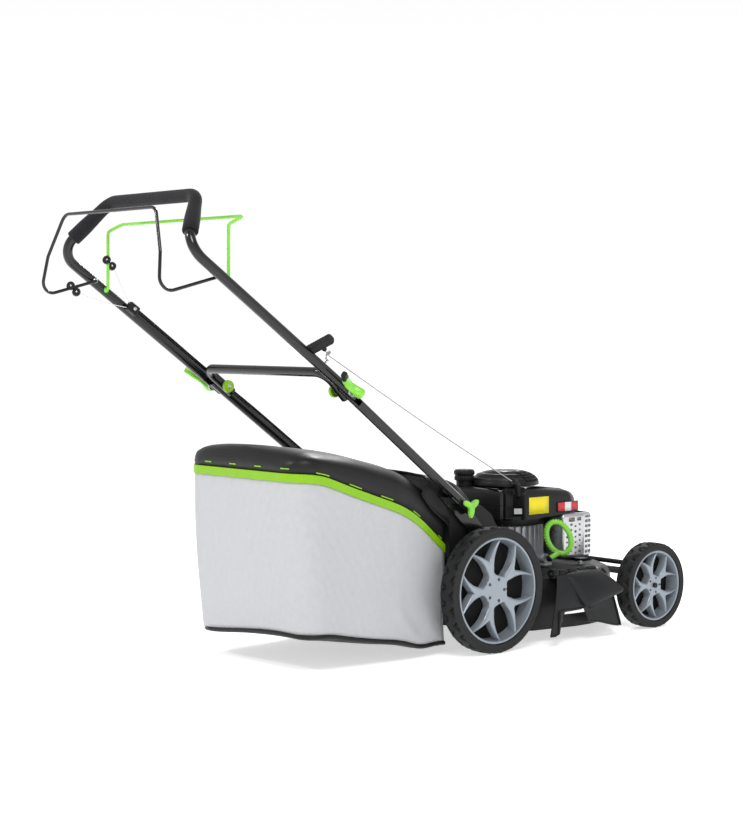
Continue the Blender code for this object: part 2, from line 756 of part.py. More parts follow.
# ---------------------------------------------------------------- grass catcher
BAND = [(-0.515, 0.412), (-0.456, 0.409), (-0.375, 0.379), (-0.234, 0.332), (-0.176, 0.304)]
BAND.append((-0.085, 0.234))
CROWN = [(-0.515, 0.440), (-0.490, 0.461), (-0.348, 0.447), (-0.205, 0.420), (-0.140, 0.390)]
CROWN.append((-0.085, 0.362))
FLOOR = [(-0.515, 0.082), (-0.456, 0.081), (-0.257, 0.054), (-0.085, 0.028)]
REAR_LEAN = 0.024  # the rear of the fabric comes in this far towards the floor


def bag_path(inset, steps=6):
    """The catcher seen from above, from the right of its mouth round to the left."""
    half = BAG_HALF_WIDTH - inset
    rear = BAG_REAR + inset
    right = [(BAG_MOUTH, inset - BAG_MOUTH_HALF), (BAG_NARROWS, -half), (-0.350, -half)]
    corner = BAG_CORNER - inset
    for step in range(steps + 1):
        angle = math.radians(90 * step / steps)
        right.append((rear + corner - corner * math.sin(angle), -half + corner - corner * math.cos(angle)))
    left = [(x, -y) for x, y in reversed(right)]
    return right + left


def catcher(frame):
    bag = empty("catcher_frame", (0, 0, 0), frame)
    plan = bag_path(0.002)
    rows = []
    for share in (0.0, 0.25, 0.5, 0.75, 1.0):
        row = []
        for x, y in plan:
            top, bottom = along(BAND, x) - 0.0085, along(FLOOR, x) + GAP
            lean = REAR_LEAN * (1 - share) * min(max((-0.380 - x) / 0.135, 0), 1)
            row.append((x + lean, y, bottom + (top - bottom) * share))
        rows.append(row)
    finish_object(grid_shell("bag_fabric", rows, 0.002, 0), "fabric", bag)

    trim = [(x, y, along(BAND, x)) for x, y in bag_path(0.002)]
    finish_object(bar("bag_trim", trim, 0.0042), "lime", bag)

    rows = []
    stations = [BAG_REAR + 0.0015, BAG_REAR + 0.012, BAG_REAR + 0.032]
    stations += [-0.456, -0.375, -0.310, BAG_NARROWS, -0.176, BAG_MOUTH]
    for x in stations:
        back = (x - BAG_REAR) / BAG_CORNER
        half = BAG_HALF_WIDTH - 0.002
        if back < 1:
            half -= BAG_CORNER * (1 - math.sqrt(1 - (1 - back) ** 2))
        if x > BAG_NARROWS:
            half -= (BAG_HALF_WIDTH - BAG_MOUTH_HALF) * (x - BAG_NARROWS) / (BAG_MOUTH - BAG_NARROWS)
        low, high = along(BAND, x) + 0.0080, along(CROWN, x)
        row = []
        for across in range(13):
            angle = math.pi * across / 12
            side = -math.copysign(abs(math.cos(angle)) ** 0.75, math.cos(angle))
            row.append((x, half * side, low + (high - low) * math.sin(angle) ** 0.55))
        rows.append(row)
    finish_object(grid_shell("bag_lid", rows, 0.0025), "black_plastic", bag)

    rows = []
    side_half = BAG_HALF_WIDTH - 0.003
    plan = [(BAG_REAR, 0.130), (-0.500, 0.170), (-0.476, 0.190), (-0.440, side_half)]
    plan += [(BAG_NARROWS, side_half), (BAG_MOUTH, BAG_MOUTH_HALF)]
    for x, half in plan:
        z = along(FLOOR, x) - 0.007
        rows.append([(x, half * (step / 2 - 1), z) for step in range(5)])
    finish_object(grid_shell("bag_base", rows, 0.012, 0), "black_plastic", bag)

    mouth = []
    for y, z in ((-0.168, 0.060), (-0.168, 0.300), (0, 0.344), (0.168, 0.300), (0.168, 0.060)):
        mouth.append((BAG_MOUTH - 0.002, y, z))
    wire = bar("bag_frame", rounded(mouth, 0.030, 3, True), 0.004, 2, True)
    finish_object(wire, "steel", bag)


# ---------------------------------------------------------------- handle
def lap_cutter(name, side, low, high, slope, inner):
    """A block that takes away one side of a tube's section beside the fold."""
    near, far = (LAP_Y - 0.03, LAP_Y + GAP / 2) if inner else (LAP_Y - GAP / 2, LAP_Y + 0.03)
    ys = sorted((side * near, side * far))
    block = box(name, (low, ys[0], -0.020), (high, ys[1], 0.020))
    turn = Matrix.Rotation(math.pi + slope, 4, "Y")
    block.data.transform(Matrix.Translation(UPPER_PIVOT) @ turn)
    return block


def handle(frame):
    lower_pivot = leg(-LOWER_PIVOT_DISTANCE)
    lower = empty("lower_handle_pivot", lower_pivot, frame)
    upper = empty("upper_handle_pivot", UPPER_PIVOT, frame)

    def shifted(points, pivot):
        return [Vector(point) - pivot for point in points]

    def hang(pivot, frame_empty, *helpers):
        for helper in helpers:
            helper.data.transform(Matrix.Translation(-pivot))
            helper.parent = frame_empty

    across_leg = (LAP_Y - 0.03, LAP_Y + 0.03)
    for side, tag in ((1, "l"), (-1, "r")):
        foot = -LOWER_PIVOT_DISTANCE - 0.022
        path = [leg(foot, side * leg_y(foot)), leg(0.018, side * LOWER_TOP_Y)]
        tube = pipe("lower_tube_" + tag, shifted(path, lower_pivot), TUBE_RADIUS, TUBE_WALL)
        finish_object(tube, "black_paint", lower)
        lap = lap_cutter("lower_lap_" + tag, side, -LAP, 0.050, LOWER_SLOPE, False)
        upper_hole = crosswise("lower_bolt_hole_" + tag, UPPER_PIVOT, side, *across_leg, HOLE_RADIUS)
        lower_hole = crosswise("knob_hole_" + tag, lower_pivot, side, *across_leg, HOLE_RADIUS)
        for cutter in (lap, upper_hole, lower_hole):
            cut(tube, cutter)
        hang(lower_pivot, lower, lap, upper_hole, lower_hole)
        wing_knob(frame, lower_pivot, side, tag)

    up_leg = Vector(GRIP_BEND) - leg(0.0, UPPER_Y)
    half = [leg(0.0, UPPER_Y) - up_leg.normalized() * 0.018, Vector(GRIP_BEND), Vector(GRIP_CORNER)]
    path = rounded(half + mirrored(half), 0.042, 5)
    tube = pipe("upper_tube", shifted(path, UPPER_PIVOT), TUBE_RADIUS, TUBE_WALL)
    finish_object(tube, "black_paint", upper)
    foam_end = Vector(GRIP_BEND).lerp(Vector(GRIP_CORNER), 0.27)
    grip_path = [foam_end, *path[7:-7], *mirrored([foam_end])]
    foam_wall = FOAM_RADIUS - TUBE_RADIUS - 0.0012
    foam = pipe("foam_grip", shifted(grip_path, UPPER_PIVOT), FOAM_RADIUS, foam_wall)
    finish_object(foam, "foam", upper)

    half = [leg(-0.024, CROSSBAR_Y - 0.0045), leg(0.060, CROSSBAR_Y + 0.008, 0.006)]
    path = rounded(half + mirrored(half), 0.026, 5)
    cross = pipe("crossbar", shifted(path, UPPER_PIVOT), TUBE_RADIUS, TUBE_WALL)
    finish_object(cross, "black_paint", upper)

    for side, tag in ((1, "l"), (-1, "r")):
        lap = lap_cutter("upper_lap_" + tag, side, -0.050, LAP, UPPER_SLOPE, True)
        hole = crosswise("upper_bolt_hole_" + tag, UPPER_PIVOT, side, *across_leg, HOLE_RADIUS)
        across_bar = (CROSSBAR_Y - 0.02, LOWER_TOP_Y)
        cross_hole = crosswise("cross_bolt_hole_" + tag, UPPER_PIVOT, side, *across_bar, HOLE_RADIUS)
        cut(tube, lap)
        cut(tube, hole)
        cut(cross, cross_hole)
        hang(UPPER_PIVOT, upper, lap, hole, cross_hole)
        for pivot, name in ((BRAKE_PIVOT, "brake"), (DRIVE_PIVOT, "drive")):
            place = Vector((pivot[0], 0, pivot[1]))
            reach = (BAIL_Y - 0.01, BAIL_END + 0.001)
            socket = crosswise(f"{name}_socket_{tag}", place, side, *reach, BAIL_WIRE + 0.0005)
            cut(tube, socket)
            hang(UPPER_PIVOT, upper, socket)
        cam_clamp(upper, side, tag)

    inner_side = UPPER_Y - TUBE_RADIUS - GAP
    clip = box("cable_clip", (-0.011, inner_side - 0.016, -0.007), (0.011, inner_side, 0.009), 0.002)
    clip.data.transform(Matrix.Translation(leg(0.290) - UPPER_PIVOT) @ Matrix.Rotation(UPPER_SLOPE, 4, "Y"))
    finish_object(clip, "black_plastic", upper)
    rope_guide(upper)
    bails(frame)
    starter(frame)
    cables(frame)


def wing_knob(frame, pivot, side, tag):
    axis = empty(f"wing_knob_{tag}_axis", pivot, frame)
    outline = []
    for step in range(36):
        angle = math.tau * step / 36
        reach = 0.0125 + 0.0095 * math.cos(3 * angle + math.pi / 2)
        outline.append((reach * math.cos(angle), reach * math.sin(angle)))
    knob = plate("wing_knob_" + tag, outline, 0.013)
    knob.data.transform(Matrix.Translation((0, side * (LOWER_FOOT_Y + TUBE_RADIUS + 0.0078), 0)))
    finish_object(knob, "lime", axis)
    reach = (BRACKET_Y, LOWER_FOOT_Y + TUBE_RADIUS + 0.005)
    stem = crosswise("knob_stem_" + tag, Vector(), side, *reach, BOLT_RADIUS)
    join(knob, stem)
    under(axis, stem)


def cam_clamp(upper, side, tag):
    """A through bolt with a round nut inside, and the lever that clamps it outside."""
    inner = CROSSBAR_Y - TUBE_RADIUS - 0.0030
    outer = UPPER_Y + TUBE_RADIUS + GAP
    nut = crosswise("cam_bolt_" + tag, Vector(), side, inner - 0.008, inner, 0.014, 20)
    finish_object(nut, "lime", upper)
    shank = crosswise("cam_shank_" + tag, Vector(), side, inner - 0.004, outer + 0.0035, BOLT_RADIUS)
    washer = crosswise("cam_washer_" + tag, Vector(), side, outer, outer + 0.0038, 0.011)
    join(nut, shank)
    join(nut, washer)
    under(upper, shank, washer)

    pin_y = side * (outer + 0.0190)
    axis = empty(f"cam_lever_{tag}_axis", (0, pin_y, 0), upper, (0, UPPER_SLOPE, 0))
    head = 0.0145
    outline = []
    for step in range(9):
        angle = math.radians(100 + 160 * step / 8)
        outline.append((-head * math.cos(angle), head * math.sin(angle)))
    outline += [(-0.058, 0.010), (-0.064, 0.016), (-0.060, 0.021), (-0.030, 0.016)]
    lever = plate("cam_lever_" + tag, outline, 0.018)
    lever.data.transform(Matrix.Rotation(-math.pi / 2, 4, "X"))
    lever.data.transform(Matrix.Diagonal((1, side, 1, 1)))
    if side < 0:
        lever.data.flip_normals()
    finish_object(lever, "lime", axis)


def rope_guide(upper):
    """The wire pigtail on the right leg that leads the starter rope."""
    start = leg(GUIDE_DISTANCE, -UPPER_Y - 0.002, TUBE_RADIUS + GAP) - UPPER_PIVOT
    across = Vector((math.sin(UPPER_SLOPE), 0, math.cos(UPPER_SLOPE)))
    uphill = Vector((-math.cos(UPPER_SLOPE), 0, math.sin(UPPER_SLOPE)))
    path = [start + across * BAIL_WIRE, start + across * 0.006]
    ring_radius = 0.0085
    for step in range(15):
        angle = math.radians(-90 + 300 * step / 14)
        offset = across * (ring_radius * math.sin(angle) + 0.0150)
        offset.y = ring_radius * math.cos(angle) - 0.004
        path.append(start + offset + uphill * (0.012 * step / 14))
    finish_object(bar("rope_guide", path, 0.002), "steel", upper)


def bails(frame):
    socket = [(0.0, BAIL_END, 0.0), (0.0, BAIL_Y, 0.0)]
    brake = socket + [(-0.138, 0.216, -0.035), (-0.126, 0.204, 0.048), (-0.109, 0.165, 0.134)]
    drive = socket + [(0.001, 0.215, 0.123), (0.036, 0.216, 0.140)]
    for name, pivot, half, bend, look in (
        ("brake_bail", BRAKE_PIVOT, brake, 0.024, "black_paint"),
        ("drive_bail", DRIVE_PIVOT, drive, 0.009, "lime"),
    ):
        axis = empty(name + "_axis", (pivot[0], 0, pivot[1]), frame)
        whole = half + mirrored(half)
        bends = [bend] * (len(whole) - 4)
        radii = [0, 0.004, *bends, 0.004, 0]
        finish_object(bar(name, rounded(whole, radii, 3), BAIL_WIRE), look, axis)


def starter(frame):
    """The pull grip above the right leg, and its rope from the engine."""
    outlet = Vector((ENGINE_X, 0, 0)) + Vector(ROPE_OUTLET) + Vector((-0.0006, -0.0001, 0.0003))
    guide = leg(GUIDE_DISTANCE + 0.006, -UPPER_Y - 0.006, TUBE_RADIUS + 0.0154)
    pull = Vector(PULL).normalized()
    grip_place = guide + pull * 0.018
    axis = empty("starter_grip_axis", grip_place, frame)
    stem_end = pull * 0.014
    stem = rod("starter_grip", Vector(), stem_end, 0.007, 12)
    finish_object(stem, "black_plastic", axis)
    off_leg = Vector((math.sin(UPPER_SLOPE), 0, math.cos(UPPER_SLOPE)))
    lean = (off_leg * 0.62 + Vector((0, -1, 0))).normalized()
    middle = stem_end + off_leg * 0.0050
    handle_bar = rod("grip_bar", middle - lean * 0.033, middle + lean * 0.033, 0.0090, 12)
    join(stem, handle_bar)
    under(axis, handle_bar)
    sag = (outlet + guide) / 2 + Vector((0, 0, -0.004))
    rope = [*smooth_path([outlet, sag, guide], 24), grip_place - pull * 0.0006]
    finish_object(bar("starter_rope", rope, 0.0018), "rope", frame)


def cables(frame):
    """The two control cables, on top of the left leg and forward to the engine."""
    brake_end = [(0.014, 0.2035, 0.316), (0.062, 0.1990, 0.296), (0.110, 0.170, 0.286)]
    brake_end.append((0.214, 0.123, 0.252))
    drive_end = [(0.004, 0.2085, 0.292), (0.058, 0.1920, 0.255), (0.128, 0.1920, 0.170)]
    for name, side_step, lift, ends in (
        ("brake_cable", -0.0036, TUBE_RADIUS + 0.0040, brake_end),
        ("drive_cable", 0.0034, TUBE_RADIUS + 0.0040, drive_end),
    ):
        route = []
        for distance in (0.272, 0.16, 0.04, -0.10, -0.24, -0.38, -0.46):
            route.append(leg(distance, leg_y(distance) + side_step, lift))
        route += ends
        finish_object(bar(name, smooth_path(route, 32), 0.0025), "black_plastic", frame)


# ---------------------------------------------------------------- assembly
def main():
    for thing in list(bpy.data.objects):
        bpy.data.objects.remove(thing)
    for collection in (PARTS, CUTTERS):
        bpy.context.scene.collection.children.link(collection)
    frame = empty("mower_frame", (REAR_AXLE_FROM_ORIGIN, 0, 0))
    deck(frame)
    rear_housing(frame)
    for side in (1, -1):
        handle_bracket(frame, side)
        for end in ("rear", "front"):
            wheel(frame, end, side)
    front_cover(frame)
    side_chute(frame)
    rear_flap(frame)
    height_setting(frame)
    engine(frame)
    catcher(frame)
    handle(frame)
    bpy.context.view_layer.update()


main()
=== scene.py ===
"""How the petrol lawn mower looks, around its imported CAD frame.

Everything is in metres. Shapes are written from the ground point below the rear axle, as
in the part's source, and add() and wire() move them to the frame by AXLE_X.
"""

from math import asin, copysign, cos, exp, hypot, pi, radians, sin, sqrt, tan, tau

import bmesh
import bpy
from mathutils import Matrix, Vector, noise


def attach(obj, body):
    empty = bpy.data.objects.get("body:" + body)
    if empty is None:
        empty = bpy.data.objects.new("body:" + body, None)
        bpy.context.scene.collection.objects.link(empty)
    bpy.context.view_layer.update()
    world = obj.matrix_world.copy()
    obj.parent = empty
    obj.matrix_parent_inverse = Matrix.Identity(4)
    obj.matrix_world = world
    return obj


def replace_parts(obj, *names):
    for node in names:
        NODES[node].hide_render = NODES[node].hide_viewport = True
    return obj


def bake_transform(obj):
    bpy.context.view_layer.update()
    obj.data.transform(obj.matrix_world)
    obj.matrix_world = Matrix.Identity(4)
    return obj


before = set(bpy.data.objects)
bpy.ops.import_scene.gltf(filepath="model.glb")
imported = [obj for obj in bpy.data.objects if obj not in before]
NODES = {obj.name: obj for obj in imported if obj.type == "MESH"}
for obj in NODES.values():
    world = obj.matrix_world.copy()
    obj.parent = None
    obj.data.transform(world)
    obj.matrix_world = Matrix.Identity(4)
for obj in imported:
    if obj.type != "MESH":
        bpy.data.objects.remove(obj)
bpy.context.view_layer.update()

UP = Vector((0, 0, 1))
AXLE_X = 0.1135
WHEELBASE = 0.532
ENGINE_X = 0.294
UPPER_SLOPE = radians(35.6)
LOWER_SLOPE = radians(36.5)
UPHILL = Vector((-cos(UPPER_SLOPE), 0, sin(UPPER_SLOPE)))
OFF_LEG = Vector((sin(UPPER_SLOPE), 0, cos(UPPER_SLOPE)))
UPPER_PIVOT = Vector((-0.404, 0, 0.588))
LOWER_PIVOT_DISTANCE = 0.440
TUBE_RADIUS = 0.0105
UPPER_Y = 0.232
LOWER_TOP_Y = 0.2235
LOWER_FOOT_Y = 0.2105
BRACKET_Y = 0.1965
LAP, LAP_Y = 0.042, 0.228
GRIP_BEND = (-0.808, UPPER_Y, 0.8772)
GRIP_CORNER = (-0.731, 0.154, 0.981)
CROSSBAR_Y = LOWER_TOP_Y - 2 * TUBE_RADIUS - 0.001
GUIDE_DISTANCE = 0.088
PULL = (-0.72, -0.30, 0.62)
BRAKE_PIVOT = (-0.726, 0.8185)
DRIVE_PIVOT = (-0.699, 0.7992)
BAIL_Y, BAIL_END = 0.2150, 0.2285
CHUTE_HINGE = (-0.2360, 0.1565)  # y and z of its rod


# ---------------------------------------------------------------- camera, floor and light
def camera():
    made = bpy.data.objects.new("camera", bpy.data.cameras.new("camera"))
    made.data.lens = 80.74
    made.location = (-2.7565, -3.142, 0.731)
    yaw, pitch = radians(49.03), radians(-2.81)
    ahead = Vector((cos(yaw) * cos(pitch), sin(yaw) * cos(pitch), sin(pitch)))
    made.rotation_euler = ahead.to_track_quat("-Z", "Y").to_euler()
    bpy.context.scene.collection.objects.link(made)
    bpy.context.scene.camera = made


def area_light(name, place, size, power):
    """A round lamp that points at the middle of the mower."""
    light = bpy.data.lights.new(name, "AREA")
    light.shape = "DISK"
    light.size = size
    light.energy = power
    made = bpy.data.objects.new(name, light)
    made.location = place
    made.rotation_euler = (Vector((0, 0, 0.35)) - Vector(place)).to_track_quat("-Z", "Y").to_euler()
    bpy.context.scene.collection.objects.link(made)


def put(node, **values):
    """Set a node's inputs; underscores in their names stand for spaces."""
    for name, value in values.items():
        node.inputs[name.replace("_", " ")].default_value = value


def backdrop():
    """White light from all round, twice as strong at the horizon as overhead."""
    world = bpy.data.worlds.new("studio")
    world.use_nodes = True
    tree = world.node_tree
    put(tree.nodes["Background"], Color=(1, 1, 1, 1))
    sky = tree.nodes.new("ShaderNodeTexCoord")
    height = tree.nodes.new("ShaderNodeSeparateXYZ")
    dim = tree.nodes.new("ShaderNodeMapRange")
    put(dim, From_Min=0.14, From_Max=0.55, To_Min=1.02, To_Max=0.50)
    tree.links.new(sky.outputs["Generated"], height.inputs["Vector"])
    tree.links.new(height.outputs["Z"], dim.inputs["Value"])
    tree.links.new(dim.outputs["Result"], tree.nodes["Background"].inputs["Strength"])
    bpy.context.scene.world = world


def studio():
    """The backdrop, three lamps, and a floor of glowing white paper."""
    backdrop()
    bpy.context.scene.view_settings.view_transform = "Standard"
    area_light("key", (-1.6, -2.4, 3.4), 1.5, 62)
    area_light("rim", (2.2, 1.8, 2.6), 0.6, 40)
    area_light("edge", (-2.6, 0.8, 2.4), 0.4, 24)

    far = 40.0
    floor = bpy.data.meshes.new("floor")
    floor.from_pydata([(-far, -far, 0), (far, -far, 0), (far, far, 0), (-far, far, 0)], [], [(0, 1, 2, 3)])
    ground = bpy.data.objects.new("floor", floor)
    bpy.context.scene.collection.objects.link(ground)
    paper = look("floor", (0.98, 0.98, 0.98), 0.9, mottle=0.003, mottle_size=0.5, specular=0.0)
    put(paper.node_tree.nodes["Principled BSDF"], Emission_Color=(1, 1, 1, 1), Emission_Strength=0.56)
    ground.data.materials.append(paper)


# ---------------------------------------------------------------- materials
def look(name, colour, rough, metallic=0.0, coat=0.0, grain=0.0, grain_size=0.0012,
         mottle=0.08, mottle_size=0.03, sheen=0.0, specular=0.22):
    """A finish whose colour and gloss vary over the surface, with a fine grain in its bump."""
    made = bpy.data.materials.new(name)
    made.use_nodes = True
    tree = made.node_tree
    shader = tree.nodes["Principled BSDF"]
    put(shader, Metallic=metallic, Specular_IOR_Level=specular, Sheen_Weight=sheen)
    put(shader, Coat_Weight=coat, Coat_Roughness=0.12)
    place = tree.nodes.new("ShaderNodeTexCoord")

    def clouds(size, detail):
        made = tree.nodes.new("ShaderNodeTexNoise")
        put(made, Scale=1 / size, Detail=detail)
        tree.links.new(place.outputs["Object"], made.inputs["Vector"])
        return made.outputs["Fac"]

    cloud = clouds(mottle_size, 4)
    blend = tree.nodes.new("ShaderNodeMix")
    blend.data_type = "RGBA"
    put(blend, A=(*[c * (1 - mottle) for c in colour], 1), B=(*[min(c * (1 + mottle), 1) for c in colour], 1))
    tree.links.new(cloud, blend.inputs["Factor"])
    tree.links.new(blend.outputs["Result"], shader.inputs["Base Color"])
    gloss = tree.nodes.new("ShaderNodeMapRange")
    put(gloss, From_Min=0.3, From_Max=0.7, To_Min=rough * 0.88, To_Max=min(rough * 1.14, 1))
    tree.links.new(cloud, gloss.inputs["Value"])
    tree.links.new(gloss.outputs["Result"], shader.inputs["Roughness"])
    if grain:
        bump = tree.nodes.new("ShaderNodeBump")
        put(bump, Strength=1.0, Distance=grain)
        tree.links.new(clouds(grain_size, 3), bump.inputs["Height"])
        tree.links.new(bump.outputs["Normal"], shader.inputs["Normal"])
    return made


def woven(name, colour, pore, pitch):
    """A net-like cloth: threads run up and round the bag, with small darker pores between."""
    made = look(name, colour, 0.75, mottle=0.11, mottle_size=0.010, sheen=0.2)
    tree = made.node_tree
    shader = tree.nodes["Principled BSDF"]
    place = tree.nodes["Texture Coordinate"]
    parts = tree.nodes.new("ShaderNodeSeparateXYZ")
    tree.links.new(place.outputs["UV"], parts.inputs["Vector"])

    def maths(operation, a, b):
        node = tree.nodes.new("ShaderNodeMath")
        node.operation = operation
        for socket, value in zip(node.inputs, (a, b)):
            if isinstance(value, float):
                socket.default_value = value
            elif value is not None:
                tree.links.new(value, socket)
        return node.outputs["Value"]

    threads = []
    for run in (parts.outputs["X"], parts.outputs["Y"]):
        wave = maths("SINE", maths("MULTIPLY", run, tau / pitch), None)
        threads.append(maths("ABSOLUTE", wave, None))
    height = maths("MAXIMUM", *threads)
    cover = maths("MULTIPLY", maths("SUBTRACT", 1.0, height), 2.6)
    mix = tree.nodes.new("ShaderNodeMix")
    mix.data_type = "RGBA"
    tree.links.new(cover, mix.inputs["Factor"])
    tree.links.new(tree.nodes["Mix"].outputs["Result"], mix.inputs["A"])
    mix.inputs["B"].default_value = (*pore, 1)
    tree.links.new(mix.outputs["Result"], shader.inputs["Base Color"])
    bump = tree.nodes.new("ShaderNodeBump")
    bump.inputs["Distance"].default_value = 0.0005
    tree.links.new(height, bump.inputs["Height"])
    tree.links.new(bump.outputs["Normal"], shader.inputs["Normal"])
    return made


LOOKS = {
    "enamel": look("black_enamel", (0.006, 0.006, 0.0065), 0.20, coat=0.55, mottle_size=0.05),
    "satin": look("satin_black", (0.010, 0.010, 0.0105), 0.42, grain=0.00006),
    "plastic": look("moulded_black", (0.011, 0.011, 0.012), 0.46, grain=0.00010),
    "lid": look("lid_black", (0.014, 0.014, 0.015), 0.40, grain=0.00012, grain_size=0.0016),
    "chute": look("chute_black", (0.016, 0.0165, 0.018), 0.44, grain=0.00010),
    "cowl": look("cowl_black", (0.014, 0.014, 0.015), 0.36, grain=0.00008),
    # deep black: the dust covers and the tank seam, and painted shade in the starter dome's slots
    "dark": look("deep_black", (0.005, 0.005, 0.0055), 0.75, specular=0.2),
    "foam": look("foam", (0.012, 0.012, 0.014), 0.95, grain=0.0003, grain_size=0.0015, sheen=0.1),
    "rubber": look("rubber", (0.019, 0.0195, 0.0205), 0.66, grain=0.00012, mottle=0.25, mottle_size=0.02),
    "rim": look("rim_silver_grey", (0.30, 0.335, 0.375), 0.34, metallic=0.35, grain=0.00004),
    "rim_dark": look("hub_hole_shade", (0.06, 0.065, 0.07), 0.5),
    "lime": look("lime_plastic", (0.215, 0.46, 0.005), 0.34, coat=0.2, grain=0.00004),
    # painted shade: the dark green of the lines in the catcher trim's grooves
    "groove": look("trim_groove_painted_shade", (0.05, 0.13, 0.003), 0.60),
    "lime_wire": look("green_wire", (0.23, 0.62, 0.06), 0.30, coat=0.3),
    "green": look("green_plastic", (0.17, 0.70, 0.05), 0.34, coat=0.2),
    "cloth": woven("bag_mesh", (0.60, 0.605, 0.62), (0.30, 0.31, 0.33), 0.0044),
    "steel": look("bright_steel", (0.62, 0.63, 0.65), 0.26, metallic=1.0, grain=0.00003),
    "zinc": look("zinc", (0.50, 0.51, 0.53), 0.38, metallic=0.9, grain=0.00005),
    "cast": look("cast_alloy", (0.42, 0.43, 0.45), 0.50, metallic=0.8, grain=0.00025, grain_size=0.002),
    "punched": look("punched_sheet", (0.66, 0.67, 0.69), 0.30, metallic=0.9, grain=0.00004),
    "heated": look("heated_sheet", (0.24, 0.22, 0.20), 0.45, metallic=0.8, mottle=0.25),
    "rope": look("braided_cord", (0.45, 0.45, 0.44), 0.80, grain=0.0003, grain_size=0.002),
    "inner_wire": look("inner_wire", (0.75, 0.75, 0.76), 0.45, metallic=0.3),
    "cable": look("cable_sheath", (0.010, 0.010, 0.011), 0.40),
    "yellow": look("yellow_label", (0.88, 0.74, 0.03), 0.40, mottle=0.03),
    "red": look("red_label", (0.62, 0.06, 0.07), 0.40, mottle=0.03),
    "white": look("white_label", (0.80, 0.80, 0.80), 0.40, mottle=0.03),
}

# the finish of each CAD node, by the start of its name
CAD_LOOKS = {
    "satin": ("deck", "rear_crank", "height_lever", "height_link", "front_axle", "bag_frame"),
    "plastic": ("rear_housing", "front_cover", "bag_base", "cable_clip", "starter_grip", "fuel_cap"),
    "enamel": ("handle_bracket", "lower_tube", "upper_tube", "crossbar", "brake_bail"),
    "cast": ("crankcase", "cylinder_block", "flywheel", "gearbox"),
    "punched": ("muffler_guard",),
    "heated": ("muffler",),
    "cowl": ("engine_cowl", "recoil_dome", "fuel_tank", "air_filter_box", "rope_outlet"),
    "rope": ("starter_rope",),
    "steel": ("crankshaft", "blade", "rope_guide"),
    "zinc": ("blade_bolt", "rear_axle"),
    "rubber": ("tyre",),
    "rim": ("rim",),
    "cloth": ("bag_fabric",),
    "lid": ("bag_lid", "rear_flap"),
    "lime": ("bag_trim", "cam_bolt", "dipstick"),
    "chute": ("side_chute",),
    "foam": ("foam_grip",),
    "lime_wire": ("cam_lever", "drive_bail"),
    "green": ("wing_knob",),
    "cable": ("brake_cable", "drive_cable"),
}
FINISH_OF = {node: finish for finish, nodes in CAD_LOOKS.items() for node in nodes}


def dress_cad():
    """Give each CAD node its finish, and smooth its round faces."""
    for name, node in NODES.items():
        key = max((k for k in FINISH_OF if name.startswith(k)), key=len)
        node.data.materials.clear()
        node.data.materials.append(LOOKS[FINISH_OF[key]])
        node.data.shade_smooth()
        node.data.set_sharp_from_angle(angle=radians(35))


# ---------------------------------------------------------------- shape helpers
def add(name, verts, faces, look_name, body, angle=35):
    """A mesh piece, given from the rear axle's ground point, that rides on a body."""
    mesh = bpy.data.meshes.new(name)
    mesh.from_pydata([(v[0] + AXLE_X, v[1], v[2]) for v in verts], [], faces)
    work = bmesh.new()
    work.from_mesh(mesh)
    bmesh.ops.remove_doubles(work, verts=work.verts, dist=2e-6)
    bmesh.ops.dissolve_degenerate(work, edges=work.edges, dist=1e-7)
    bmesh.ops.recalc_face_normals(work, faces=work.faces)
    work.to_mesh(mesh)
    work.free()
    mesh.shade_smooth()
    mesh.set_sharp_from_angle(angle=radians(angle))
    mesh.materials.append(LOOKS[look_name])
    made = bpy.data.objects.new(name, mesh)
    bpy.context.scene.collection.objects.link(made)
    if body:
        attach(made, body)
    return made


def wall(thing, thickness, offset=-1.0):
    """Give a sheet its thickness."""
    shell = thing.modifiers.new("wall", "SOLIDIFY")
    shell.thickness = thickness
    shell.offset = offset
    return thing


def skin(rows, ring=False, loop=False, caps=False):
    """Points and faces over rows of points; ring closes each row, loop joins last row to first."""
    wide, tall = len(rows[0]), len(rows)
    faces = []
    for i in range(tall if loop else tall - 1):
        for j in range(wide if ring else wide - 1):
            after, below = (j + 1) % wide, (i + 1) % tall
            faces.append((i * wide + j, i * wide + after, below * wide + after, below * wide + j))
    if caps:
        faces.append(tuple(range(wide))[::-1])
        faces.append(tuple(range((tall - 1) * wide, tall * wide)))
    return [point for row in rows for point in row], faces


def several(*parts):
    """Several (points, faces) as one."""
    verts, faces = [], []
    for more, its in parts:
        faces += [tuple(index + len(verts) for index in face) for face in its]
        verts += list(more)
    return verts, faces


def moved(part, matrix):
    return [matrix @ Vector(point) for point in part[0]], part[1]


def round_steps(count, start=0.0):
    """Angles of equal steps round a full turn."""
    return [tau * (step + start) / count for step in range(count)]


def around(profile, count, place):
    """Rows of place(a, b, angle), one for each pair (a, b) of a profile."""
    return [[Vector(place(a, b, turn)) for turn in round_steps(count)] for a, b in profile]


def grid(tall, wide, place):
    """Rows of place(down, across), where both shares run from 0 to 1."""
    return [[Vector(place(i / tall, j / wide)) for j in range(wide + 1)] for i in range(tall + 1)]


def circle(radius, sides=16):
    return [(radius * cos(a), radius * sin(a)) for a in round_steps(sides)]


def soft_box(wide, tall, count, wide_power, tall_power, start=0.0):
    """A closed outline between an ellipse and a rectangle, squarer the lower its powers."""
    made = []
    for a in round_steps(count, start):
        u = wide * copysign(abs(cos(a)) ** wide_power, cos(a))
        made.append((u, tall * copysign(abs(sin(a)) ** tall_power, sin(a))))
    return made


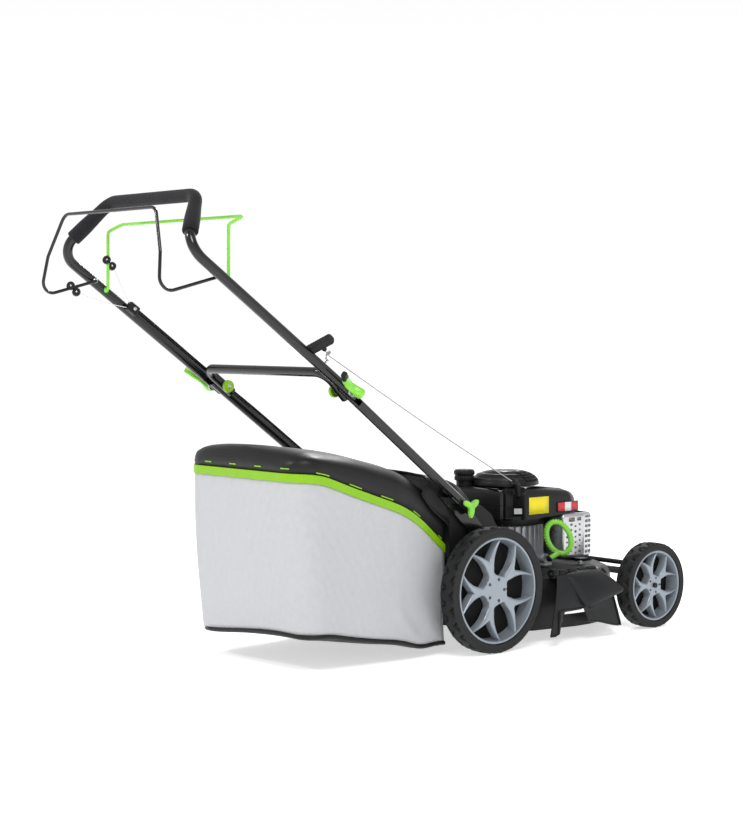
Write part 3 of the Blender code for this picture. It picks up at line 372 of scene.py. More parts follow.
def sweep(path, section, lift=(0, 0, 1), loop=False):
    """Rows of a section carried along a path. section(share) gives (across, lift) pairs."""
    path = [Vector(point) for point in path]
    last = len(path) - 1
    lift = Vector(lift)
    rows = []
    for index, point in enumerate(path):
        if loop:
            tangent = path[(index + 1) % len(path)] - path[index - 1]
        else:
            tangent = path[min(index + 1, last)] - path[max(index - 1, 0)]
        tangent.normalize()
        lift = (lift - tangent * lift.dot(tangent)).normalized()
        across = tangent.cross(lift)
        rows.append([point + across * u + lift * v for u, v in section(index / last)])
    return rows


def rod_part(path, radius, sides=16, loop=False):
    return skin(sweep(path, lambda share: circle(radius, sides), loop=loop), True, loop, not loop)


def wire(name, path, radius, look_name, body, sides=14, loop=False):
    return add(name, *rod_part(path, radius, sides, loop), look_name, body)


def turned(profile, sides, matrix=None, closed=False):
    """A profile of (radius, height) pairs turned about local Z, then placed by a matrix."""
    rows = [[Vector((x, y, height)) for x, y in circle(radius, sides)] for radius, height in profile]
    part = skin(rows, ring=True, loop=closed)
    return moved(part, matrix) if matrix else part


def facing(place, direction):
    """A matrix that puts local Z along a direction at a place."""
    turn = Vector(direction).to_track_quat("Z", "Y").to_matrix().to_4x4()
    return Matrix.Translation(Vector(place)) @ turn


def rounded(points, radius, steps=8):
    """Replace the inner corners of a path by arcs of one radius, or of one radius each."""
    points = [Vector(point) for point in points]
    radii = [radius] * len(points) if isinstance(radius, float) else radius
    path = [points[0]]
    for index in range(1, len(points) - 1):
        corner = points[index]
        before, after = points[index - 1] - corner, points[index + 1] - corner
        opening = before.angle(after)
        reach = min(radii[index] / tan(opening / 2), 0.48 * before.length, 0.48 * after.length)
        start, end = corner + before.normalized() * reach, corner + after.normalized() * reach
        middle = (before.normalized() + after.normalized()).normalized()
        centre = corner + middle * (reach / cos(opening / 2))
        size = (start - centre).length
        for step in range(steps + 1):
            path.append(centre + (start - centre).slerp(end - centre, step / steps).normalized() * size)
    return [*path, points[-1]]


def smooth_path(points, count):
    """Points at equal steps of a Catmull-Rom curve through the given ones."""
    points = [Vector(point) for point in points]
    padded = [2 * points[0] - points[1], *points, 2 * points[-1] - points[-2]]
    runs = len(points) - 1
    path = []
    for step in range(count):
        place = step / (count - 1) * runs
        index = min(int(place), runs - 1)
        t = place - index
        a, b, c, d = padded[index : index + 4]
        bent = 2 * b + (c - a) * t + (2 * a - 5 * b + 4 * c - d) * t * t
        path.append(0.5 * (bent + (3 * b - a - 3 * c + d) * t**3))
    return path


def mirrored(points):
    return [Vector((x, -y, z)) for x, y, z in reversed([tuple(point) for point in points])]


def ramp(value, low, high):
    """0 below low, 1 above high and a smooth rise between."""
    share = min(max((value - low) / (high - low), 0), 1)
    return share * share * (3 - 2 * share)


def leg(distance, y=0.0, lift=0.0):
    """A point up the handle leg from the upper pivot, lifted square to the leg."""
    slope = UPPER_SLOPE if distance > 0 else LOWER_SLOPE
    uphill, across = Vector((-cos(slope), 0, sin(slope))), Vector((sin(slope), 0, cos(slope)))
    return UPPER_PIVOT + uphill * distance + across * lift + Vector((0, y, 0))


def leg_y(distance):
    if distance > 0:
        return UPPER_Y
    return LOWER_TOP_Y + (LOWER_FOOT_Y - LOWER_TOP_Y) * -distance / LOWER_PIVOT_DISTANCE


# ---------------------------------------------------------------- wheels
def side_tag(side):
    return "l" if side > 0 else "r"


def tread_depth(turn, across, lugs):
    """How deep the tread lies at a place: zigzag channels with a block in each bay."""
    side = abs(across) / 0.022
    bay = abs((turn * lugs / tau + (0.5 if across < 0 else 0)) % 1 - 0.5)
    edge = 0.06 + 0.40 * max(side - 0.10, 0)
    channel = ramp(bay, edge - 0.20, edge - 0.13) * (1 - ramp(bay, edge - 0.03, edge + 0.04))
    bay_floor = 0.35 * (1 - ramp(bay, edge - 0.05, edge + 0.03))
    return max(channel, bay_floor) * ramp(side, 0.10, 0.24) * (1 - ramp(side, 0.74, 0.92))


def tyre_part(radius, depth, lugs):
    """A tyre with ribbed shoulders, whose tread is sunk between its blocks."""
    seat = radius - depth
    side = [(seat, 0.0205), (seat + 0.003, 0.0216), (seat + 0.006, 0.0220), (seat + 0.0075, 0.0213)]
    side += [(radius - 0.0095, 0.0213), (radius - 0.0080, 0.0220), (radius - 0.0050, 0.0217)]
    side += [(radius - 0.0022, 0.0205)]
    spots = [0.0190 - 0.0380 * step / 14 for step in range(15)]
    tread = [(radius - 0.0008 * (across / 0.019) ** 2, across) for across in spots]
    profile = side + tread + [(r, -w) for r, w in reversed(side)]
    rows = []
    for turn in round_steps(lugs * 12):
        row = []
        for r, w in profile:
            if r > radius - 0.0085:
                shoulder = ramp(r, radius - 0.009, radius - 0.004)
                r -= 0.0070 * radius / 0.14 * tread_depth(turn, w, lugs) * shoulder
            row.append(Vector((r * cos(turn), r * sin(turn), w)))
        rows.append(row)
    return skin(rows, ring=True, loop=True)


def spokes_part(outer):
    """Five Y-shaped spokes round a hub: U-shaped windows between them, V-shaped ones in them."""
    k = outer / 0.1184
    cup, fork, end, half = 0.0330 * k, 0.0690 * k, outer - 0.006, 0.0150 * k

    def u_half(r):
        if r <= cup:
            return 0.0
        if r < cup + half:
            return 1.28 * sqrt(half**2 - (half - (r - cup)) ** 2)
        share = max((r - cup - half) / (end - cup - half), 0)
        return half * 1.28 + k * (0.0305 * share - 0.0268 * share**2)

    def limits(r):
        """The angles of the spoke's edges at V and U, from the middle of the spoke."""
        widest = radians(36) - (asin(min(u_half(r) / r, 1)) if r > cup else 0)
        if r <= fork:
            return 0.0, widest
        return min(asin((r - fork) * 0.96 / r), widest - 0.0035 * k / r), widest

    radii = [0.0, 0.010 * k, 0.018 * k, 0.024 * k, 0.029 * k]
    radii += [cup + half * s for s in (0, 0.06, 0.2, 0.45, 0.75)]
    radii += [cup + half + (fork - cup - half) * s for s in (0, 0.5, 1.0)]
    first_u, first_v = radii.index(cup), len(radii) - 1
    radii += [fork + (end - fork) * s for s in (0.04, 0.1, 0.2, 0.35, 0.5, 0.65, 0.8, 0.92, 1.0)]
    across = 8
    pieces = []
    for spoke in range(5):
        for mirror in (1, -1):
            top, bottom = [], []
            for r in radii:
                split, widest = limits(r)
                face = 0.0130 + 0.0040 * ramp(r, 0.028 * k, end)
                upper, lower = [], []
                for step in range(across + 1):
                    angle = split + (widest - split) * (1 - cos(pi * step / across)) / 2
                    to_u = (widest - angle) * r if r >= cup else 1.0
                    to_v = (angle - split) * r if r > fork else 1.0
                    if r < cup:
                        to_u = hypot(cup - r, (radians(36) - angle) * cup)
                    edge = 1 - min(min(to_u, to_v) / (0.0050 * k), 1)
                    place = radians(36 + 72 * spoke) + mirror * angle
                    x, y = r * cos(place), r * sin(place)
                    upper.append(Vector((x, y, face - 0.0030 * edge**2)))
                    lower.append(Vector((x, y, face - 0.0215)))
                top.append(upper)
                bottom.append(lower)
            pieces += [skin(top), skin(bottom)]
            pieces.append(skin([[t[-1], b[-1]] for t, b in zip(top[first_u:], bottom[first_u:])]))
            pieces.append(skin([[t[0], b[0]] for t, b in zip(top[first_v:], bottom[first_v:])]))
            pieces.append(skin([top[-1], bottom[-1]]))
    return several(*pieces)


def wheel(end, side):
    """One wheel: tyre, five-spoke rim with its bolt holes, and the dust cover behind it."""
    radius, depth, lugs = (0.140, 0.021, 25) if end == "rear" else (0.102, 0.017, 20)
    tag = f"{end}_{side_tag(side)}"
    body = f"{end}_wheel_{side_tag(side)}"
    place = Matrix.Translation((0 if end == "rear" else WHEELBASE, side * 0.244, radius))
    hub = place @ Matrix.Rotation(-pi / 2 * side, 4, "X")

    tyre = add("tread_" + tag, *moved(tyre_part(radius, depth, lugs), hub), "rubber", body, 50)
    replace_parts(tyre, "tyre_" + tag)

    outer = radius - depth - 0.0006
    k = outer / 0.1184
    lip = [(outer, -0.016), (outer, 0.0175), (outer - 0.0012, 0.0190), (outer - 0.0040, 0.0195)]
    lip += [(outer - 0.0054, 0.0186), (outer - 0.0060, 0.0160), (outer - 0.0075, 0.0)]
    lip += [(outer - 0.010, -0.016)]
    shape = several(turned(lip, 72, closed=True), spokes_part(outer))
    rim = add("spokes_" + tag, *moved(shape, hub), "rim", body, 40)
    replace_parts(rim, "rim_" + tag)

    cup = [(0.0, 0.0004), (0.0026 * k, 0.0004), (0.0030 * k, 0.0010), (0.0036 * k, 0.0008)]
    cup.append((0.0040 * k, -0.002))
    spots = [Vector((x, y, 0.0128)) for x, y in circle(0.0245 * k, 5)]
    holes = [turned(cup, 16, Matrix.Translation(spot)) for spot in spots]
    add("hub_holes_" + tag, *moved(several(*holes), hub), "rim_dark", body)
    cover = [(0.012, -0.0155), (outer - 0.009, -0.0155), (outer - 0.009, -0.0140), (0.030, -0.0100)]
    cover += [(0.012, -0.0095)]
    add("dust_cover_" + tag, *turned(cover, 48, hub, closed=True), "dark", body)


def axles():
    """The rear axle, which ends inside its hubs."""
    rear = wire("rear_axle_bar", [(0, -0.2555, 0.140), (0, 0.2555, 0.140)], 0.006, "zinc", "rear_carrier")
    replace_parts(rear, "rear_axle")


# ---------------------------------------------------------------- grass catcher
BAND = [(-0.515, 0.412), (-0.456, 0.409), (-0.375, 0.379), (-0.234, 0.332), (-0.176, 0.304), (-0.085, 0.234)]
CROWN = [(-0.515, 0.458), (-0.490, 0.473), (-0.348, 0.456), (-0.205, 0.421), (-0.140, 0.388), (-0.085, 0.358)]
FLOOR = [(-0.515, 0.082), (-0.456, 0.081), (-0.257, 0.054), (-0.085, 0.028)]
BAG_HALF = 0.203
BAG_REAR, BAG_NARROWS, BAG_MOUTH = -0.515, -0.234, -0.085
BAG_MOUTH_HALF = 0.181
BAG_CORNER = 0.060


def along(table, x):
    """Read a value at x from a table of (x, value) pairs, rounded at its corners."""

    def straight(at):
        for (x0, low), (x1, high) in zip(table, table[1:]):
            if at <= x1:
                break
        return low + (high - low) * (at - x0) / (x1 - x0)

    return sum(straight(x + 0.030 * step / 4) for step in range(-4, 5)) / 9


def bag_half(x, inset=0.0):
    """Half the catcher's width at x."""
    half = BAG_HALF - inset
    back = (x - BAG_REAR - inset) / (BAG_CORNER - inset)
    if back < 1:
        half -= (BAG_CORNER - inset) * (1 - sqrt(max(1 - (1 - back) ** 2, 0)))
    if x > BAG_NARROWS:
        half -= (BAG_HALF - BAG_MOUTH_HALF) * (x - BAG_NARROWS) / (BAG_MOUTH - BAG_NARROWS)
    return half


def bag_path(inset, spacing=0.011):
    """The catcher seen from above, from the right of its mouth round to the left."""
    half, rear, corner = BAG_HALF - inset, BAG_REAR + inset, BAG_CORNER - inset
    corners = [(BAG_MOUTH, inset - BAG_MOUTH_HALF), (BAG_NARROWS, -half)]
    for step in range(9):
        angle = radians(90 * step / 8)
        corners.append((rear + corner - corner * sin(angle), -half + corner - corner * cos(angle)))
    corners.append((rear, 0))
    right = []
    for (x0, y0), (x1, y1) in zip(corners, corners[1:]):
        count = max(1, round(hypot(x1 - x0, y1 - y0) / spacing))
        right += [(x0 + (x1 - x0) * i / count, y0 + (y1 - y0) * i / count) for i in range(count)]
    return right + [(rear, 0)] + [(x, -y) for x, y in reversed(right)]


def outward(path, index):
    """The level direction that points out of the catcher at a place on its path."""
    x0, y0 = path[max(index - 1, 0)]
    x1, y1 = path[min(index + 1, len(path) - 1)]
    return Vector((y1 - y0, x0 - x1, 0)).normalized()


def hem_rise(x, y):
    """The hem of the cloth waves, sags beside the mouth and hangs lower at its rear left corner."""
    wave = 0.0025 * sin(x * 21 + y * 9) - 0.013 * exp(-(((x + 0.165) / 0.055) ** 2))
    return wave - 0.022 * ramp(y, -0.14, 0.19) * ramp(-x, 0.36, 0.50)


def rear_lean(x):
    """How far the foot of the catcher's rear leans in."""
    return 0.024 * min(max((-0.380 - x) / 0.135, 0), 1)


def cloth_point(path, index, share):
    """A point of the cloth: index says where round the bag, and share how far up."""
    x, y = path[index]
    top, bottom = along(BAND, x) - 0.0065, along(FLOOR, x) + 0.0005 + hem_rise(x, y)
    z = bottom + (top - bottom) * share
    soft = noise.noise(Vector((x * 7, y * 7, z * 5))) * 0.0080
    crease = noise.noise(Vector((x * 16 + z * 11, y * 16, z * 6 - x * 9)))
    fold = sin(64 * (0.75 * x + 0.66 * z) + 7 * noise.noise(Vector((x * 9, y * 9, z * 9))))
    slack = ramp(-z, -0.22, -0.04) * ramp(x, -0.36, -0.14) * sin(pi * min(share * 1.6, 1))
    push = sin(pi * share) * (soft - 0.003) + slack * (0.010 * crease + 0.0030 * fold)
    return Vector((x + rear_lean(x) * (1 - share), y, z)) + outward(path, index) * push


def catcher_cloth(path):
    """The bag, woven along its length and height, and the cord in its hem."""
    rows = []
    for step in range(37):
        rows.append([cloth_point(path, index, step / 36) for index in range(len(path))])
    cloth = add("catcher_cloth", *skin(rows), "cloth", "catcher", 60)
    runs = [0.0]
    for (x0, y0), (x1, y1) in zip(path, path[1:]):
        runs.append(runs[-1] + hypot(x1 - x0, y1 - y0))
    threads = cloth.data.uv_layers.new(name="threads")
    for loop in cloth.data.loops:
        index = loop.vertex_index
        threads.data[loop.index].uv = (runs[index % len(path)], cloth.data.vertices[index].co.z)
    wall(cloth, 0.0012)
    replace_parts(cloth, "bag_fabric")

    hem = []
    for index in range(len(path)):
        p = cloth_point(path, index, 0.0)
        curl = exp(-(((p.y - 0.185) / 0.030) ** 2)) * ramp(-p.x, 0.42, 0.48)
        hem.append(p + outward(path, index) * (0.0008 + 0.009 * curl) + UP * (0.006 * curl - 0.0040))
    wire("hem_cord", hem, 0.0050, "plastic", "catcher", 12)


def catcher_trim(path):
    """The ridged green band between cloth and lid, with a dark green line of painted shade in the groove of
    each half.
    """
    ridges = [(-0.0030, -0.0080), (0.0006, -0.0082), (0.0030, -0.0070), (0.0030, -0.0054), (-0.0004, -0.0040)]
    ridges += [(0.0036, -0.0028), (0.0048, -0.0006), (0.0036, 0.0014), (-0.0004, 0.0026)]
    ridges += [(0.0030, 0.0038), (0.0030, 0.0054), (0.0006, 0.0068), (-0.0030, 0.0064)]
    rows, groove_shade_paths = [], ([], [])
    for index, (x, y) in enumerate(path):
        centre, out = Vector((x, y, along(BAND, x))), outward(path, index)
        rows.append([centre + out * u + UP * (v * 1.22) for u, v in ridges])
        # a thin dark line in each groove of the trim: painted shade
        for groove, v in zip(groove_shade_paths, (-0.0042, 0.0032)):
            groove.append(centre + out * 0.0018 + UP * (v * 1.22))
    add("trim_groove_shade_lines", *several(*[rod_part(g, 0.0013, 8) for g in groove_shade_paths]), "groove", "catcher")
    trim = add("catcher_trim", *skin(rows, ring=True, caps=True), "lime", "catcher", 50)
    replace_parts(trim, "bag_trim")


def catcher_lid():
    """The moulded lid: crowned, steep at its sides, with a bead along each edge."""
    stations = [BAG_REAR + 0.0012 + d for d in (0, 0.0006, 0.002, 0.005, 0.010, 0.018, 0.030, 0.045)]
    stations += [BAG_REAR + 0.060 + (BAG_MOUTH - BAG_REAR - 0.060) * i / 32 for i in range(33)]
    rows = []
    for number, x in enumerate(stations):
        half = bag_half(x, 0.0016)
        low = along(BAND, x) + 0.0062
        high = along(CROWN, x) - 0.014 * (1 - ramp(x, BAG_REAR, BAG_REAR + 0.022)) ** 2
        row = []
        for across in range(41):
            angle = pi * across / 40
            side = -copysign(abs(cos(angle)) ** 0.46, cos(angle))
            rise = sin(angle) ** 0.40 if number else 0.0
            crown = 0.88 + 0.12 * cos(side * pi / 2)
            bead = 0.0015 * exp(-(((abs(side) - 0.80) / 0.035) ** 2))
            bead *= ramp(x, BAG_REAR + 0.02, BAG_REAR + 0.06)
            row.append(Vector((x, half * side, low + (high - low) * rise * crown + bead)))
        rows.append(row)
    lid = add("catcher_lid", *skin(rows), "lid", "catcher", 60)
    wall(lid, 0.0025)
    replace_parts(lid, "bag_lid")


def lid_ticks(path):
    """The short green marks along the lid's edge, at equal steps round it."""
    run, spots = 0.0, []
    for index in range(1, len(path) - 1):
        run += (Vector(path[index]) - Vector(path[index - 1])).length
        spots.append((run, index))
    outline = ((-0.002, -0.0013), (0.0022, -0.0013), (0.0027, 0), (0.0022, 0.0013), (-0.002, 0.0013))
    ticks = []
    for number in range(-7, 7):
        mark = run / 2 - 0.060 - 0.0885 * number
        rows = []
        for index in [index for length, index in spots if abs(length - mark) < 0.0200]:
            x, y = path[index]
            centre = Vector((x, y, along(BAND, x) + 0.0128 + 0.005 * ramp(-x, 0.46, 0.51)))
            rows.append([centre + outward(path, index) * u + UP * v for u, v in outline])
        if len(rows) > 1:
            ticks.append(skin(rows, ring=True, caps=True))
    add("lid_ticks", *several(*ticks), "lime", "catcher", 50)


def catcher_tray():
    """The plastic tray under the cloth, which follows its hem and is flatter inside."""
    levels = [(0.0030, 0.0010), (0.0008, -0.0005), (0.0004, -0.0040), (0.0040, -0.0080)]
    levels += [(0.0180, -0.0130), (0.0450, -0.0150)]
    rows = []
    for inset, rise in levels:
        row = []
        for x, y in bag_path(0.004 + inset):
            hem = hem_rise(x, y) * (1 - ramp(inset, 0.002, 0.045))
            row.append(Vector((x + rear_lean(x), y, along(FLOOR, x) + rise + hem)))
        rows.append(row)
    base = add("catcher_tray", *skin(rows, ring=True, caps=True), "plastic", "catcher", 50)
    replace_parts(base, "bag_base")


def catcher():
    """The grass catcher, from its cloth to its tray."""
    path = bag_path(0.002)
    catcher_cloth(path)
    catcher_trim(path)
    catcher_lid()
    lid_ticks(path)
    catcher_tray()


# ---------------------------------------------------------------- engine
def engine_point(x, y, z):
    """A point given from the crankshaft's axis."""
    return Vector((ENGINE_X + x, y, z))


def to_engine(part):
    return moved(part, Matrix.Translation((ENGINE_X, 0, 0)))


def shrunk(outline, inset):
    """Move a closed outline, given anticlockwise, inwards."""
    made = []
    for index, (x, y) in enumerate(outline):
        before, after = Vector(outline[index - 1]), Vector(outline[(index + 1) % len(outline)])
        run = (after - before).normalized()
        made.append((x - run.y * inset, y + run.x * inset))
    return made


def block(corners, radius, steps, stack):
    """A rounded block: corners in plan, and (inset, height) levels from the foot to the top."""
    spots = [Vector((x, y, 0)) for x, y in corners]
    start = (spots[0] + spots[1]) / 2
    radii = [0, *[max(r, 0.0004) for r in [*radius[1:], radius[0]]], 0]
    plan = [(p.x, p.y) for p in rounded([start, *spots[1:], spots[0], start], radii, steps)][:-1]
    rows = []
    for inset, height in stack:
        outline = shrunk(plan, inset)
        rows.append([Vector((x, y, height(x, y) if callable(height) else height)) for x, y in outline])
    return skin(rows, ring=True, caps=True), plan


COWL = [(-0.010, 0.118), (-0.056, 0.100), (-0.074, 0.078), (-0.074, -0.066), (-0.056, -0.072)]
COWL += [(-0.056, -0.1125), (0.100, -0.114), (0.134, -0.094), (0.153, -0.048), (0.153, 0.048), (0.134, 0.088)]
COWL += [(0.098, 0.108)]


def cowl_and_tank():
    def slope(x):
        return ramp(x, 0.005, 0.160)

    radius = [0.02, 0.02, 0.006, 0.003, 0.002, 0.010, 0.03, 0.03, 0.03, 0.03, 0.02, 0.02]
    stack = [(0.004, lambda x, y: 0.2680 + 0.012 * slope(x)), (0.0, lambda x, y: 0.2665 + 0.012 * slope(x))]
    for step in range(9):
        angle = radians(90 * step / 8)

        def height(x, y, rise=sin(angle)):
            return 0.320 - 0.021 * slope(x) + (0.0225 - 0.001 * slope(x)) * rise

        stack.append((0.020 * (1 - cos(angle)), height))
    stack.append((0.034, lambda x, y: 0.3440 - 0.019 * slope(x)))
    shape, _ = block(COWL, radius, 6, stack)
    cowl = add("cowl", *to_engine(shape), "cowl", "chassis", 40)
    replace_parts(cowl, "engine_cowl")

    # the tank at the rear, with soft edges and two flats
    tank = [(-0.129, -0.102), (-0.118, -0.102), (-0.0755, -0.050), (-0.0755, 0.078), (-0.129, 0.078)]
    stack = [(0.003, 0.2700), (0.0, 0.2730), (0.0, 0.331)]
    stack += [(0.0015, 0.3350), (0.0045, 0.3385), (0.010, 0.3400), (0.016, 0.3402)]
    shape, tank_plan = block(tank, [0.012, 0.006, 0.004, 0.010, 0.014], 5, stack)
    made = add("tank", *to_engine(shape), "cowl", "chassis", 50)
    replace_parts(made, "fuel_tank")
    seam = [engine_point(x, y, 0.3045) for x, y in shrunk(tank_plan, -0.0004)]
    wire("tank_seam", seam, 0.0007, "dark", "chassis", 6, True)


def on_dome(r, turn, lift):
    """A point on the starter's dome, or lifted from it."""
    fall = 0.0315 * (1 - sqrt(max(1 - (r / 0.083) ** 3, 0)))
    return Vector((r * cos(turn) - 0.010, r * sin(turn) + 0.003, 0.3765 - fall + lift))


def starter_dome():
    """The starter's dome: rings on one side, and on the other a ladder of slots drawn as near-black strips of
    painted shade.
    """

    def surface(r, _, turn):
        lined = ramp(cos(turn - radians(205)), -0.25, 0.15) * ramp(r, 0.018, 0.030)
        lined *= 1 - ramp(r, 0.078, 0.082)
        return on_dome(r, turn, -0.0042 * (0.5 - 0.5 * cos(tau * r / 0.0095)) * lined)

    radii = [0.083 * sin(pi / 2 * ring / 24) for ring in range(24)] + [0.083]
    rows = around([(r, 0) for r in radii], 180, surface)
    rows.append([p - UP * 0.002 for p in rows[-1]])
    dome = add("starter_dome", *to_engine(skin(rows, ring=True)), "cowl", "chassis", 30)
    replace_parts(dome, "recoil_dome")

    # the slots are not cut: near-black strips on the dome paint the shade inside them
    slots = []
    for spoke in range(15):
        turn = radians(-92 + 9.5 * spoke)
        for near, far in ((0.042, 0.054), (0.0565, 0.0675), (0.0695, 0.0770), (0.0785, 0.0815)):
            strip = []
            for part in range(5):
                r = near + (far - near) * part / 4
                wide = 0.0040 / r * (0.8 + 0.5 * (r - 0.04) / 0.035)
                across = ((-wide, 0.0005), (0, 0.0006), (wide, 0.0005))
                strip.append([on_dome(r, turn + shift, lift) for shift, lift in across])
            slots.append(skin(strip))
    wall(add("dome_slot_shade", *to_engine(several(*slots)), "dark", "chassis"), 0.0006)
    hub = [(0.0, 0.3776), (0.014, 0.3774), (0.017, 0.3766), (0.018, 0.3750)]
    add("dome_hub", *turned(hub, 40, Matrix.Translation((ENGINE_X - 0.010, 0.003, 0))), "cowl", "chassis")


def fuel_cap():
    """The fuel cap, with a knurled rim, and its neck."""
    profile = [(0.0, 0.3796), (0.017, 0.3800), (0.0215, 0.3793), (0.0243, 0.3765), (0.0250, 0.3735)]
    profile += [(0.0250, 0.3690), (0.0236, 0.3668), (0.0222, 0.3660), (0.0222, 0.3642), (0.0238, 0.3632)]
    profile += [(0.0240, 0.3560), (0.0232, 0.3540), (0.0195, 0.3530), (0.0190, 0.3404), (0.0, 0.3404)]

    def knurled(r, z, turn):
        r -= 0.0009 * (0.5 + 0.5 * cos(24 * turn)) if r > 0.0225 else 0.0
        return r * cos(turn), r * sin(turn), z

    place = Matrix.Translation((ENGINE_X - 0.102, 0.046, 0))
    cap = moved(skin(around(profile, 144, knurled), ring=True), place)
    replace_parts(add("cap", *cap, "plastic", "filler_cap", 40), "fuel_cap")


def rope_outlet():
    """The starter rope's eyelet, and the snout below it."""
    eye = engine_point(-0.0805, -0.0935, 0.3585)
    side = Vector((-0.55, -0.80, 0.25)).normalized().cross(UP).normalized()
    up = side.cross(Vector((-0.55, -0.80, 0.25)).normalized())
    ring = [eye + side * x + up * y for x, y in circle(0.0062, 24)]
    eyelet = wire("rope_eyelet", ring, 0.0017, "satin", "chassis", 8, True)
    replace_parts(eyelet, "rope_outlet")

    route = ((0.006, 0.002, -0.002), (0.017, 0.004, -0.006), (0.025, 0.006, -0.016))
    route += ((0.029, 0.006, -0.030), (0.029, 0.005, -0.040))
    path = smooth_path([eye + Vector(p) for p in route], 16)
    rows = []
    for index, place in enumerate(path):
        run = (path[min(index + 1, 15)] - path[max(index - 1, 0)]).normalized()
        flat = run.cross(Vector((0.5, -0.85, 0))).normalized()
        deep = run.cross(flat)
        size = (0.0068, 0.0082, 0.0098, 0.0108, 0.0112)[min(index // 3, 4)]
        if index in (0, 15):
            size *= 0.72
        rows.append([place + flat * x + deep * (y * 0.8) for x, y in circle(size, 16)])
    add("rope_snout", *skin(rows, ring=True, caps=True), "plastic", "chassis", 50)


def bolts(name, profile, spots):
    """Bolt heads or nuts of one shape, standing on level faces."""
    heads = [turned(profile, 12, Matrix.Translation(spot)) for spot in spots]
    add(name, *several(*heads), "zinc", "chassis")


def crankcase_details():
    """The governor's bracket, and the crankcase's ribs, bolts and collar and the cylinder's fins."""
    plate = [(-0.0745, -0.094), (-0.058, -0.104), (-0.0575, -0.1035), (-0.074, -0.093)]
    base = [(-0.0745, -0.088), (-0.050, -0.104), (-0.048, -0.100), (-0.0725, -0.085)]
    for name, plan, levels, finish in (
        ("governor_plate", plate, (0.281, 0.294), "cast"),
        ("governor_base", base, (0.2665, 0.2745), "satin"),
    ):
        shape, _ = block(plan, [0, 0, 0, 0], 1, [(0, z) for z in levels])
        add(name, *to_engine(shape), finish, "chassis")

    ribs = []
    for step in range(11):
        turn = radians(-168 + 11.5 * step)
        out, along_rim = Vector((cos(turn), sin(turn), 0)), Vector((-sin(turn), cos(turn), 0))
        rows = []
        for z, reach in ((0.1700, 0.0920), (0.176, 0.0860), (0.244, 0.0850), (0.2500, 0.0800)):
            corners = ((0.074, -0.0020), (reach, -0.0012), (reach, 0.0012), (0.074, 0.0020))
            rows.append([out * r + along_rim * wide + UP * z for r, wide in corners])
        ribs.append(skin(rows, ring=True, caps=True))
    add("case_ribs", *to_engine(several(*ribs)), "cast", "chassis")

    head = [(0.0, 0.0070), (0.0045, 0.0070), (0.0055, 0.0060), (0.0055, 0.0010)]
    head += [(0.0085, 0.0010), (0.0085, -0.001)]
    spots = [(-0.050, -0.078, 0.1700), (0.046, -0.082, 0.1700)]
    spots += [(-0.088, -0.020, 0.1690), (0.078, -0.045, 0.1695)]
    bolts("case_bolts", head, [engine_point(*spot) for spot in spots])
    collar = [(0.0790, 0.2500), (0.0860, 0.2500), (0.0880, 0.2530), (0.0880, 0.2640), (0.0790, 0.2640)]
    add("case_collar", *to_engine(turned(collar, 60, closed=True)), "satin", "chassis")

    fins = []
    for step in range(9):
        z = 0.177 + 0.0094 * step
        corners = [(0.079, -0.054), (0.162, -0.054), (0.162, 0.046), (0.079, 0.046)]
        fins.append(block(corners, [0.008] * 4, 3, [(0, z), (0, z + 0.0032)])[0])
    add("cylinder_fins", *to_engine(several(*fins)), "cast", "chassis")


def engine():
    """The engine above the deck, from its cowl to its labels."""
    cowl_and_tank()
    starter_dome()
    fuel_cap()
    rope_outlet()
    crankcase_details()
    muffler_guard()
    dipstick_loop()
    labels()


GUARD_FACE = [(0.067, -0.118), (0.126, -0.1305), (0.168, -0.120)]  # the two near faces, in plan


def muffler_guard():
    """A pressed cover with soft corners, holes down its near side and slots on its front."""
    plan = [(0.066, -0.050), *GUARD_FACE, (0.164, -0.050)]
    path = rounded([Vector((x, y, 0)) for x, y in plan], [0, 0.009, 0.012, 0.012, 0], 6)
    low, high, bend = 0.1650, 0.2740, 0.011
    rows = []
    for step in (*range(-6, 1), *range(7)):
        turn = radians(15 * step)
        inset = bend * (1 - cos(turn))
        z = (low + bend if len(rows) < 7 else high - bend) + sin(turn) * bend
        row = []
        for index, p in enumerate(path):
            run = (path[min(index + 1, len(path) - 1)] - path[max(index - 1, 0)]).normalized()
            row.append(Vector((p.x - run.y * inset, p.y + run.x * inset, z)))
        rows.append(row)
    guard = add("guard", *to_engine(skin(rows)), "punched", "chassis", 45)
    wall(guard, 0.0015)
    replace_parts(guard, "muffler_guard")

    def opening(outline):
        points = []
        for x, z in outline:
            (x0, y0), (x1, y1) = GUARD_FACE[:2] if x < GUARD_FACE[1][0] else GUARD_FACE[1:]
            points.append(Vector((x, y0 + (y1 - y0) * (x - x0) / (x1 - x0) - 0.0007, z)))
        return points, [tuple(range(len(points)))]

    holes = []
    for column in range(4):
        for level in range(6):
            x, z = 0.079 + 0.0118 * column, 0.179 + 0.0128 * level + (0.004 if column % 2 else 0)
            radius = 0.0024 if (column + level) % 3 else 0.0033
            holes.append(opening([(x + u, z + v) for u, v in circle(radius, 10)]))
    slots = []
    for column in range(2):
        slots += [(0.1345 + 0.0145 * column, 0.0098, 0.1800 + 0.0122 * level, 0.0032) for level in range(7)]
    slots += [(0.084, 0.016, 0.2590, 0.0050), (0.108, 0.010, 0.2600, 0.0040), (0.136, 0.020, 0.2640, 0.0025)]
    for x, wide, z, tall in slots:
        holes.append(opening(((x, z - tall), (x + wide, z - tall), (x + wide, z + tall), (x, z + tall))))
    wall(add("guard_holes", *to_engine(several(*holes)), "heated", "chassis"), 0.0003)


